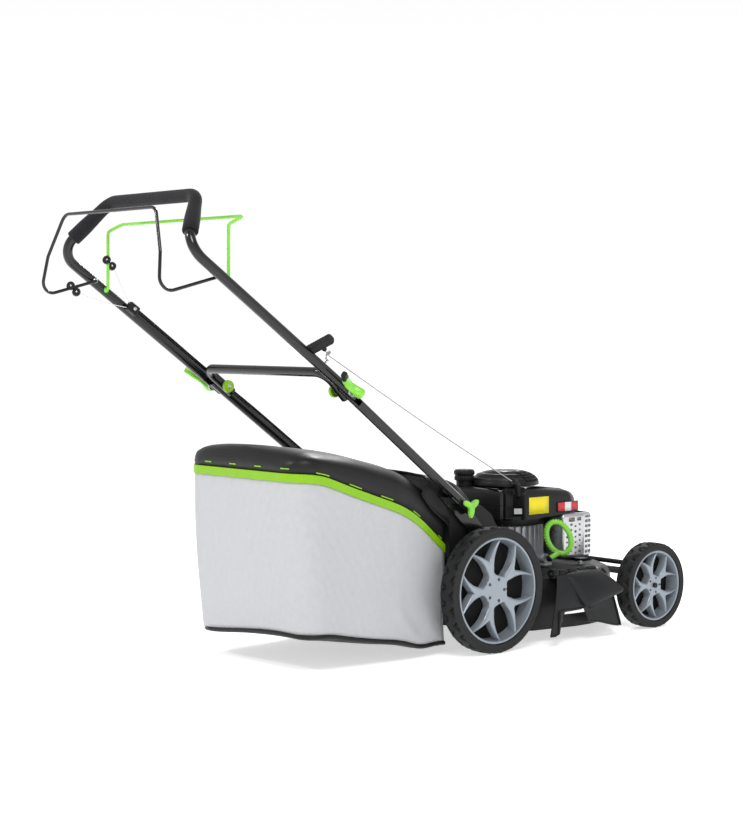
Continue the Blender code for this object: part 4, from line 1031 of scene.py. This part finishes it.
def dipstick_loop():
    """The oil plug's tall pull loop, ribbed round its edge."""
    turn, tilt = radians(41), radians(24)
    foot = engine_point(0.010, -0.119, 0.172)
    across = Vector((cos(turn), -sin(turn), 0))
    middle = foot + Vector((0.018, -0.022, 0.050))
    long_way = across * -sin(tilt) + UP * cos(tilt)
    short_way = across * cos(tilt) + UP * sin(tilt)
    out = long_way.cross(short_way).normalized()
    rows = []
    for step, angle in enumerate(round_steps(180)):
        radial = (short_way * cos(angle) / 0.0262 + long_way * sin(angle) / 0.0385).normalized()
        place = middle + short_way * 0.0262 * cos(angle) + long_way * 0.0385 * sin(angle)
        rib = 0.0022 if step % 5 < 3 else 0.0
        row = []
        for a in round_steps(14):
            reach = 0.0060 + (rib if cos(a) > 0.3 else 0)
            row.append(place + radial * reach * cos(a) + out * 0.0055 * sin(a))
        rows.append(row)
    low = radians(-128)
    start = middle + short_way * 0.0295 * cos(low) + long_way * 0.0415 * sin(low)
    route = [start + (middle - start) * 0.08, start, foot + Vector((0, -0.013, 0.002))]
    ring = several(skin(rows, ring=True, loop=True), rod_part(smooth_path(route, 10), 0.0070, 14))
    loop = add("dipstick_loop", *ring, "lime_wire", "oil_stick", 35)
    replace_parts(loop, "dipstick")

    profile = [(0, 0), (0.0062, 0), (0.0068, 0.002), (0.0066, 0.009), (0.005, 0.011), (0, 0.011)]
    place = facing(foot + Vector((0.0005, -0.004, 0.0)), Vector((0.10, -1, 0.16)))
    add("dipstick_plug", *turned(profile, 20, place), "plastic", "oil_stick")
    profile = [(0.0095, 0), (0.0095, 0.020), (0.0115, 0.022), (0.0115, 0.040)]
    profile += [(0.0100, 0.0415), (0.0, 0.0415)]
    tube = turned(profile, 24, facing(engine_point(0.010, -0.0745, 0.172), Vector((0, -1, 0))))
    profile = [(0, 0), (0.013, 0), (0.0155, 0.004), (0.0150, 0.010)]
    profile += [(0.010, 0.012), (0.010, 0.014), (0, 0.014)]
    spout = turned(profile, 20, Matrix.Translation(engine_point(0.020, -0.106, 0.1515)))
    add("filler_tube", *several(tube, spout), "cast", "chassis")


def labels():
    """Plain generic labels: a yellow one on the near side, and a red and a white one in front."""

    def near_side(x):
        return -0.1134 - 0.0015 * (x + 0.056) / 0.156

    for name, finish, x0, x1, z0, z1, face in (
        ("yellow_label", "yellow", -0.0440, 0.0220, 0.2790, 0.3190, near_side),
        ("label_bracket", "satin", 0.050, 0.122, 0.2790, 0.3030, lambda x: -0.1158),
        ("red_label", "red", 0.052, 0.120, 0.2805, 0.3015, lambda x: -0.1164),
        ("white_label", "white", 0.075, 0.097, 0.2805, 0.3015, lambda x: -0.1169),
    ):
        spots = [x0 + (x1 - x0) * step / 4 for step in range(5)]
        rows = [[Vector((x, face(x), z)) for x in spots] for z in (z0, z1)]
        wall(add(name, *to_engine(skin(rows)), finish, "chassis"), 0.0004)


# ---------------------------------------------------------------- handle
def grip():
    """The bent upper tube, its lapped ends, and the foam over it."""
    up_leg = Vector(GRIP_BEND) - leg(0.0, UPPER_Y)
    half = [leg(0.0, UPPER_Y) - up_leg.normalized() * 0.018, Vector(GRIP_BEND), Vector(GRIP_CORNER)]
    bent = rounded(half + mirrored(half), 0.042, 14)
    path = []
    for a, b in zip(bent, bent[1:]):
        count = max(1, round((b - a).length / 0.012))
        path += [a.lerp(b, step / count) for step in range(count)]
    path.append(bent[-1])
    verts, faces = rod_part(path, TUBE_RADIUS, 24)
    for v in verts:
        if (v - UPPER_PIVOT).dot(UPHILL) < LAP:
            v.y = copysign(max(abs(v.y), LAP_Y + 0.0002), v.y)
    tube = add("grip_tube", verts, faces, "enamel", "upper_handle", 50)
    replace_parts(tube, "upper_tube")

    foam_end = Vector(GRIP_BEND).lerp(Vector(GRIP_CORNER), 0.27)
    inside = [p for p in path if (p - UPPER_PIVOT).dot(UPHILL) > 0 and p.z > foam_end.z]
    foam = [foam_end, *inside, *mirrored([foam_end])]
    radii = [0.0135 + 0.0027 * (1 - ramp(p.z, 0.925, 0.965)) for p in foam]
    radii[0] *= 0.90
    radii[-1] *= 0.90
    sleeve = sweep(foam, lambda share: circle(radii[round(share * (len(radii) - 1))], 28))
    made = add("foam_sleeve", *skin(sleeve, ring=True, caps=True), "foam", "upper_handle", 50)
    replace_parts(made, "foam_grip")


def cross_tube():
    half = [leg(-0.024, CROSSBAR_Y - 0.0045), leg(0.060, CROSSBAR_Y + 0.008, 0.006)]
    path = rounded(half + mirrored(half), 0.026, 12)
    made = add("cross_tube", *rod_part(path, TUBE_RADIUS, 24), "enamel", "upper_handle", 50)
    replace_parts(made, "crossbar")


def bail_wires():
    """The two spring-steel bails, the clamps on their left arms, and the thin wires to the clip."""
    socket = [(0.0, BAIL_END, 0.0), (0.0, BAIL_Y, 0.0)]
    brake = socket + [(-0.138, 0.216, -0.035), (-0.126, 0.204, 0.048), (-0.109, 0.165, 0.134)]
    drive = socket + [(0.001, 0.215, 0.123), (0.036, 0.216, 0.140)]
    clip = leg(0.290, UPPER_Y - 0.018, 0.004)
    near_left = Vector((-0.45, -0.85, 0.15))
    disc = [(0, 0.006), (0.0075, 0.006), (0.0088, 0.0045), (0.0088, -0.0045), (0.0075, -0.006), (0, -0.006)]
    rivet = [(0, 0.0016), (0.0016, 0.0013), (0.0026, 0), (0.0026, -0.001)]
    for name, pivot, half, bend, look_name, body, grab in (
        ("brake", BRAKE_PIVOT, brake, 0.024, "enamel", "brake_control", (-0.787, 0.2155, 0.8030)),
        ("drive", DRIVE_PIVOT, drive, 0.009, "lime_wire", "drive_control", (-0.698, 0.2150, 0.8590)),
    ):
        half = [Vector(point) + Vector((pivot[0], 0, pivot[1])) for point in half]
        whole = half + mirrored(half)
        radii = [0, 0.006, *[bend] * (len(whole) - 4), 0.006, 0]
        made = add(name + "_wire", *rod_part(rounded(whole, radii, 10), 0.0034, 16), look_name, body, 50)
        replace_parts(made, name + "_bail")

        grab = Vector(grab)
        spots = [grab + Vector((-0.004, 0, 0.004)), grab + Vector((0.009, -0.001, -0.009))]
        discs = [turned(disc, 20, facing(spot, near_left)) for spot in spots]
        add(name + "_clamp", *several(*discs), "plastic", body)
        out = near_left.normalized() * 0.0055
        rivets = [turned(rivet, 14, facing(spot + out, near_left)) for spot in spots]
        add(name + "_clamp_rivets", *several(*rivets), "zinc", body)

        end = grab + Vector((0.010, -0.004, -0.010))
        run = [end.lerp(clip, step / 24) - UP * (0.004 * sin(pi * step / 24)) for step in range(25)]
        inner = add(name + "_inner_wire", *rod_part(run, 0.0008, 8), "inner_wire", None)
        stretch_between(inner, body, end, clip)

    cap = [(0, 0.0020), (0.0040, 0.0016), (0.0058, 0.0002), (0.0058, -0.0010)]
    for side in (1, -1):
        for name, pivot, look_name in (("brake", BRAKE_PIVOT, "zinc"), ("drive", DRIVE_PIVOT, "green")):
            place = Vector((pivot[0], side * (UPPER_Y - TUBE_RADIUS - 0.0004), pivot[1]))
            bush = turned(cap, 18, facing(place, Vector((0, -side, 0))))
            add(f"{name}_bush_{side_tag(side)}", *bush, look_name, "upper_handle")


def cable_housing():
    """The block that the cables start from, with its screw."""
    spot = leg(0.290, UPPER_Y - TUBE_RADIUS - 0.0083, 0.001)
    turn = Matrix.Translation(spot) @ Matrix.Rotation(UPPER_SLOPE, 4, "Y")
    corners = [(-0.014, -0.0085), (0.013, -0.0085), (0.013, 0.0078), (-0.014, 0.0078)]
    shape, _ = block(corners, [0.003] * 4, 4, [(0.0015, -0.0085), (0, -0.007), (0, 0.0105), (0.0015, 0.012)])
    made = add("cable_block", *moved(shape, turn), "plastic", "upper_handle", 40)
    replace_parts(made, "cable_clip")
    screw = turned([(0, 0.0018), (0.0030, 0.0016), (0.0042, 0.0004), (0.0042, -0.001)], 18)
    place = spot + Vector((0.002, -0.0088, 0.002))
    add("cable_screw", *moved(screw, facing(place, Vector((0, -1, 0)))), "zinc", "upper_handle")


def cam_lever(side, pin):
    """A lever: a curved grip that thickens to the cam over its pin."""
    tag = side_tag(side)
    slope = Matrix.Translation(pin) @ Matrix.Rotation(UPPER_SLOPE, 4, "Y")
    bend = [(0.010, 0, 0), (-0.004, -0.002, 0), (-0.024, -0.006, 0), (-0.045, 0.003, 0), (-0.064, 0.0155, 0)]

    def section(share):
        thick = 0.0138 - 0.0092 * ramp(share, 0.12, 0.42) + 0.0010 * ramp(share, 0.6, 1.0)
        thick *= 0.75 + 0.25 * ramp(share, 0.0, 0.10)
        return soft_box(thick, 0.0092 - 0.0022 * ramp(share, 0.72, 1.0), 20, 0.6, 0.5)

    rows = sweep(smooth_path(bend, 28), section)
    place = slope @ Matrix.Diagonal((1, side, 1, 1))
    for name, stretch, finish in (
        ("lever_", rows[:-5], "lime_wire"),
        ("lever_tip_", rows[-6:], "plastic" if side < 0 else "lime_wire"),
    ):
        lever = add(name + tag, *moved(skin(stretch, ring=True, caps=True), place), finish, "cam_" + tag, 45)
        if name == "lever_":
            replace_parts(lever, "cam_lever_" + tag)
    profile = [(0, 0.0005), (0.0030, 0.0004), (0.0040, -0.0004)]
    head = turned(profile, 16, slope @ facing((-0.001, 0, 0.0092), UP))
    add("lever_pin_" + tag, *head, "zinc", "cam_" + tag)


def clamps():
    """The folding joint's through bolts, with round nuts inside and curved cam levers outside."""
    inner = CROSSBAR_Y - TUBE_RADIUS - 0.0030
    outer = UPPER_Y + TUBE_RADIUS + 0.0003
    nut_profile = [(0, 0.0086), (0.010, 0.0086), (0.0130, 0.0074), (0.0140, 0.0050)]
    nut_profile += [(0.0140, 0.0010), (0.0120, 0)]
    washer_profile = [(0, 0.0), (0.0110, 0.0), (0.0112, 0.0010), (0.0112, 0.0036), (0, 0.0036)]
    screw_profile = [(0, 0.0014), (0.0035, 0.0012), (0.0048, 0.0003), (0.0048, -0.001)]
    for side in (1, -1):
        tag = side_tag(side)

        def at(y, side=side):
            return UPPER_PIVOT + Vector((0, side * y, 0))

        def across(y, side=side):
            return facing(UPPER_PIVOT + Vector((0, side * y, 0)), Vector((0, -side, 0)))

        nut = add("disc_nut_" + tag, *turned(nut_profile, 32, across(inner)), "lime", "upper_handle")
        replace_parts(nut, "cam_bolt_" + tag)
        shank = rod_part([at(inner - 0.004), at(outer + 0.0035)], 0.004, 14)
        washer = turned(washer_profile, 28, across(outer + 0.0036))
        add("clamp_bolt_" + tag, *several(shank, washer), "zinc", "upper_handle")
        add("nut_screw_" + tag, *turned(screw_profile, 18, across(inner - 0.0086)), "zinc", "upper_handle")
        cam_lever(side, at(outer + 0.0190))


def wing_knobs():
    """Three-winged knobs: two arms up, one down, thick at the hub and fluted."""
    pivot = leg(-LOWER_PIVOT_DISTANCE)
    face = LOWER_FOOT_Y + TUBE_RADIUS + 0.0012
    profile = [(0.55, 0.0), (0.92, 0.0012), (1.0, 0.0040), (1.0, 0.0080), (0.94, 0.0110)]
    profile += [(0.80, 0.0128), (0.45, 0.0136), (0.0, 0.0139)]
    for side in (1, -1):

        def surface(share, out, a, side=side):
            wing = max(cos(1.5 * (a - pi / 2 - pi / 3)) ** 2, 0) ** 1.9
            groove = 0.0018 * exp(-((abs(sin(1.5 * (a - pi / 6))) / 0.16) ** 2)) * ramp(share, 0.1, 0.8)
            level = face + out - (groove + 0.002 * wing if out > 0.009 else 0)
            reach = (0.0078 + 0.0172 * wing) * share
            return reach * cos(a), side * level, reach * sin(a)

        tag = side_tag(side)
        knob = moved(skin(around(profile, 120, surface), ring=True, caps=True), Matrix.Translation(pivot))
        made = add("knob_" + tag, *knob, "lime_wire", "knob_" + tag, 60)
        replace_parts(made, "wing_knob_" + tag)
        ends = [pivot + Vector((0, side * y, 0)) for y in (BRACKET_Y, face + 0.002)]
        wire("knob_stem_" + tag, ends, 0.0038, "zinc", "knob_" + tag)


def rope_ends():
    """Where the starter rope leaves the pigtail, and where its grip begins."""
    guide = leg(GUIDE_DISTANCE + 0.006, -UPPER_Y - 0.006, TUBE_RADIUS + 0.0154)
    return guide, guide + Vector(PULL).normalized() * 0.018


def pull_grip():
    """The starter's grip: a ribbed bar across a short stem."""
    pull = Vector(PULL).normalized()
    start = rope_ends()[1]
    lean = (OFF_LEG * 0.62 + Vector((0, -1, 0))).normalized()
    middle = start + pull * 0.014 + OFF_LEG * 0.0050 + Vector((-0.013, 0, -0.004))
    path = [middle + lean * (-0.034 + 0.068 * step / 34) for step in range(35)]

    def section(share):
        ends = min(share, 1 - share)
        size = 0.0098 * (0.86 + 0.14 * ramp(ends, 0, 0.05))
        size *= 1 - (0.05 if round(share * 34) % 3 == 0 and ends > 0.08 else 0)
        return soft_box(size, size, 24, 0.55, 0.55, start=0.5)

    bar = skin(sweep(path, section, lift=OFF_LEG), ring=True, caps=True)
    profile = [(0, -0.001), (0.0042, -0.001), (0.0062, 0.006), (0.0080, 0.014), (0, 0.016)]
    stem = turned(profile, 20, facing(start, pull))
    made = add("pull_bar", *several(bar, stem), "plastic", "starter_pull", 35)
    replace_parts(made, "starter_grip")


def tail_wire():
    """The pigtail on the right leg, with finer turns."""
    start = leg(GUIDE_DISTANCE, -UPPER_Y - 0.002, TUBE_RADIUS + 0.0003)
    path = [start + OFF_LEG * 0.0010, start + OFF_LEG * 0.006]
    for step in range(43):
        angle = radians(-90 + 300 * step / 42)
        offset = OFF_LEG * (0.0085 * sin(angle) + 0.0150)
        offset.y = 0.0085 * cos(angle) - 0.004
        path.append(start + offset + UPHILL * (0.012 * step / 42))
    made = add("pigtail", *rod_part(path, 0.0021, 12), "zinc", "upper_handle")
    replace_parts(made, "rope_guide")


def stretch_between(made, near, start, end):
    """Bake made's placement into its mesh. near, start and end are not used."""
    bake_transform(made)


def cords():
    """The starter rope and the two control cables, each in two pieces."""
    outlet = engine_point(-0.0826, -0.0936, 0.3593)
    guide, grip_place = rope_ends()
    sag = (outlet + guide) / 2 - UP * 0.004
    routes = [("starter_line", "starter_rope", 0.0012, "rope", smooth_path([outlet, sag, guide], 34))]
    brake = [(0.014, 0.2035, 0.316), (0.062, 0.1990, 0.296), (0.110, 0.170, 0.286), (0.214, 0.123, 0.252)]
    drive = [(0.004, 0.2085, 0.292), (0.058, 0.1920, 0.255), (0.128, 0.1920, 0.170)]
    for name, step_in, ends in (("brake", -0.0036, brake), ("drive", 0.0034, drive)):
        down_leg = (0.272, 0.16, 0.04, -0.10, -0.24, -0.38, -0.46)
        route = [leg(d, leg_y(d) + step_in, 0.0145) for d in down_leg]
        route = smooth_path([*route, *ends], 64)
        routes.append((name + "_line", name + "_cable", 0.0025, "cable", route[::-1]))

    # each route is cut in two near x = -0.20
    at_lower, at_upper = leg(-LOWER_PIVOT_DISTANCE), UPPER_PIVOT
    for name, node, radius, look_name, route in routes:
        rope = name == "starter_line"
        cut = min(range(3, len(route) - 3), key=lambda i: abs(route[i].x + 0.20))
        near, away = route[: cut + 1], route[cut:]
        first = add(name + "_a", *rod_part(near, radius, 10), look_name, None)
        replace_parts(first, node)
        begin = near[0] if rope else at_lower + Vector((0.05, 0, -0.03))
        finish = near[-1] if rope else at_lower + Vector((-0.05, 0, 0.03))
        stretch_between(first, "chassis", begin, finish)
        second = add(name + "_b", *rod_part(away, radius, 10), look_name, None)
        begin = away[0] if rope else at_upper + Vector((0.035, 0, -0.02))
        finish = away[-1] if rope else at_upper + Vector((-0.035, 0, 0.02))
        stretch_between(second, "lower_handle", begin, finish)
        length = sum((b - a).length for a, b in zip(route, route[1:]))
        print(f"{node} {length:.3f} m")

    # the last stretch of rope, from the guide to the grip
    stub = [guide.lerp(grip_place, step / 8) for step in range(9)]
    last = add("starter_line_c", *rod_part(stub, 0.0012, 10), "rope", None)
    stretch_between(last, "upper_handle", guide, grip_place)


# ---------------------------------------------------------------- chute, flap and deck
def chute_sleeve(start, end, size):
    """A round sleeve on the chute's hinge rod. The thin ones are knurled."""

    def surface(x, scale, turn):
        knurl = 1 - (0.09 * (0.5 + 0.5 * cos(turn * 12)) if size < 0.01 else 0)
        r = size * scale * knurl
        return x, CHUTE_HINGE[0] + r * cos(turn), CHUTE_HINGE[1] + r * sin(turn)

    ends = [(start, 0.55), (start, 0.92), (start + 0.0012, 1.0)]
    ends += [(end - 0.0012, 1.0), (end, 0.92), (end, 0.55)]
    return skin(around(ends, 48, surface), ring=True, caps=True)


def chute():
    """The side outlet's cover: an arched foot, a raised visor, and a hinge with knurled sleeves."""

    def cover_point(share, part):
        left, right = 0.205 - 0.066 * share, 0.362 + 0.026 * share
        arch = ramp(part, 0.10, 0.17) * (1 - ramp(part, 0.50, 0.58))
        foot = min(0.131 * share, 0.131 - 0.052 * arch)
        if part > 0.5:
            foot = min(foot, 0.112 + 0.019 * ramp(part, 0.58, 1.0))
        y = -0.242 - 0.042 * (foot / 0.131) ** 0.6 + 0.014 * (part - 0.5) * share
        y -= 0.006 * sin(pi * min(foot / 0.09, 1)) * sin(pi * part)
        return left + (right - left) * part, y, 0.156 - foot

    rows = grid(28, 36, cover_point)
    cover = add("chute", *skin(rows), "chute", "chute", 40)
    wall(cover, 0.003)
    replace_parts(cover, "side_chute")
    rim = [row[0] for row in rows] + rows[-1][1:] + [row[-1] for row in rows[::-1]][1:]
    wire("chute_rim", [p + Vector((0, -0.0010, 0.0004)) for p in rim[::2]], 0.0020, "chute", "chute", 8)

    def visor_point(share, part):
        left = 0.232 + 0.030 * share**1.5 + 0.012 * ramp(share, 0.8, 1.0)
        right = 0.350 + 0.052 * share - 0.018 * ramp(share, 0.85, 1.0)
        y = -0.2480 - 0.046 * share**0.75 - 0.010 * sin(pi * min(share * 0.9, 1)) * sin(pi * part)
        y += 0.007 * (1 - ramp(min(part, 1 - part, share * 0.8, 1 - share), 0.0, 0.10))
        z = 0.157 + 0.003 * sin(pi * part) - 0.082 * share * (1 - 0.34 * part)
        return left + (right - left) * part, y, z

    raised = add("chute_visor", *skin(grid(14, 28, visor_point)), "chute", "chute", 50)
    wall(raised, 0.004)

    sleeves = [chute_sleeve(0.196, 0.212, 0.0110)]
    sleeves += [chute_sleeve(start, start + 0.027, 0.0080) for start in (0.219, 0.251, 0.283, 0.315)]
    add("chute_sleeves", *several(*sleeves), "satin", "chute", 40)
    wire("chute_rod", [(x, *CHUTE_HINGE) for x in (0.192, 0.352)], 0.0035, "steel", "chute", 12)


def flap():
    """The flap over the tunnel, raised on the catcher's lid: one smooth shell with side skirts."""
    top = [(0.052, 0.316), (0.028, 0.336), (-0.002, 0.355), (-0.050, 0.377), (-0.098, 0.392), (-0.146, 0.398)]
    skirt = [(0.054, 0.284), (0.024, 0.262), (-0.026, 0.250)]
    skirt += [(-0.082, 0.286), (-0.130, 0.320), (-0.164, 0.356)]
    half = 0.1915
    tops, skirts = [smooth_path([(x, 0, z) for x, z in edge], 26) for edge in (top, skirt)]
    rows = []
    for high, low in zip(tops, skirts):
        section = [(low.x, -half - 0.001, low.z)]
        for step in range(1, 5):
            foot = low.lerp(high - UP * 0.018, step / 5)
            section.append((foot.x, -half - 0.0015, foot.z))
        for step in range(7):
            a = radians(90 * step / 6)
            section.append((high.x, -half + 0.022 * (1 - cos(a)), high.z - 0.018 + 0.016 * sin(a)))
        for step in range(1, 5):
            y = (-half + 0.022) * (1 - step / 4)
            section.append((high.x, y, high.z - 0.002 + 0.006 * (1 - (y / half) ** 2)))
        narrow = 1 - 0.26 * ramp(high.x, -0.075, 0.050)
        row = [Vector((x, y * narrow, z)) for x, y, z in section]
        rows.append(row + mirrored(row)[1:])
    shell = add("flap", *skin(rows), "plastic", "flap", 50)
    wall(shell, 0.003)
    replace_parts(shell, "rear_flap")
    edge = [p + Vector((-0.0006, 0, 0.0010)) for p in rows[-1]]
    wire("flap_edge", edge, 0.0022, "plastic", "flap", 8)
    for side in (1, -1):
        hem = [Vector((row[0].x, side * (abs(row[0].y) + 0.0006), row[0].z)) for row in rows]
        wire("flap_hem_" + side_tag(side), hem, 0.0020, "plastic", "flap", 8)


def deck_bits():
    """A plain yellow label on the deck, the low cover over the front bar, and the deck's nuts."""
    turns = [radians(-122 + 3.4 * step) for step in range(5)]
    rows = [[engine_point(0.2476 * cos(a), 0.2476 * sin(a), z) for a in turns] for z in (0.082, 0.121)]
    wall(add("deck_label", *skin(rows), "yellow", "chassis"), 0.0005)

    outline = [(0.455, 0.1515), (0.478, 0.1515), (0.500, 0.1420), (0.522, 0.1260), (0.600, 0.1170)]
    outline += [(0.606, 0.1050), (0.610, 0.1050), (0.611, 0.1205), (0.600, 0.1235), (0.526, 0.1320)]
    outline += [(0.505, 0.1465), (0.482, 0.1560), (0.455, 0.1560)]
    rows = [[Vector((x, y, z)) for x, z in outline] for y in (-0.090, -0.088, 0.088, 0.090)]
    cover = add("nose_cover", *skin(rows, ring=True, caps=True), "plastic", "chassis", 30)
    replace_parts(cover, "front_cover")

    nut = [(0, 0.0062), (0.0045, 0.0062), (0.0055, 0.005), (0.0055, 0.001), (0.009, 0.001), (0.009, -0.0005)]
    spots = [(x, y) for x in (0.170, 0.420) for y in (0.120, -0.120)] + [(0.232, 0.185), (0.360, 0.185)]
    bolts("deck_nuts", nut, [(x, y, 0.1505) for x, y in spots])


camera()
studio()
dress_cad()
for end in ("rear", "front"):
    for side in (1, -1):
        wheel(end, side)
axles()
catcher()
engine()
chute()
flap()
deck_bits()
grip()
cross_tube()
bail_wires()
cable_housing()
clamps()
wing_knobs()
pull_grip()
tail_wire()
cords()
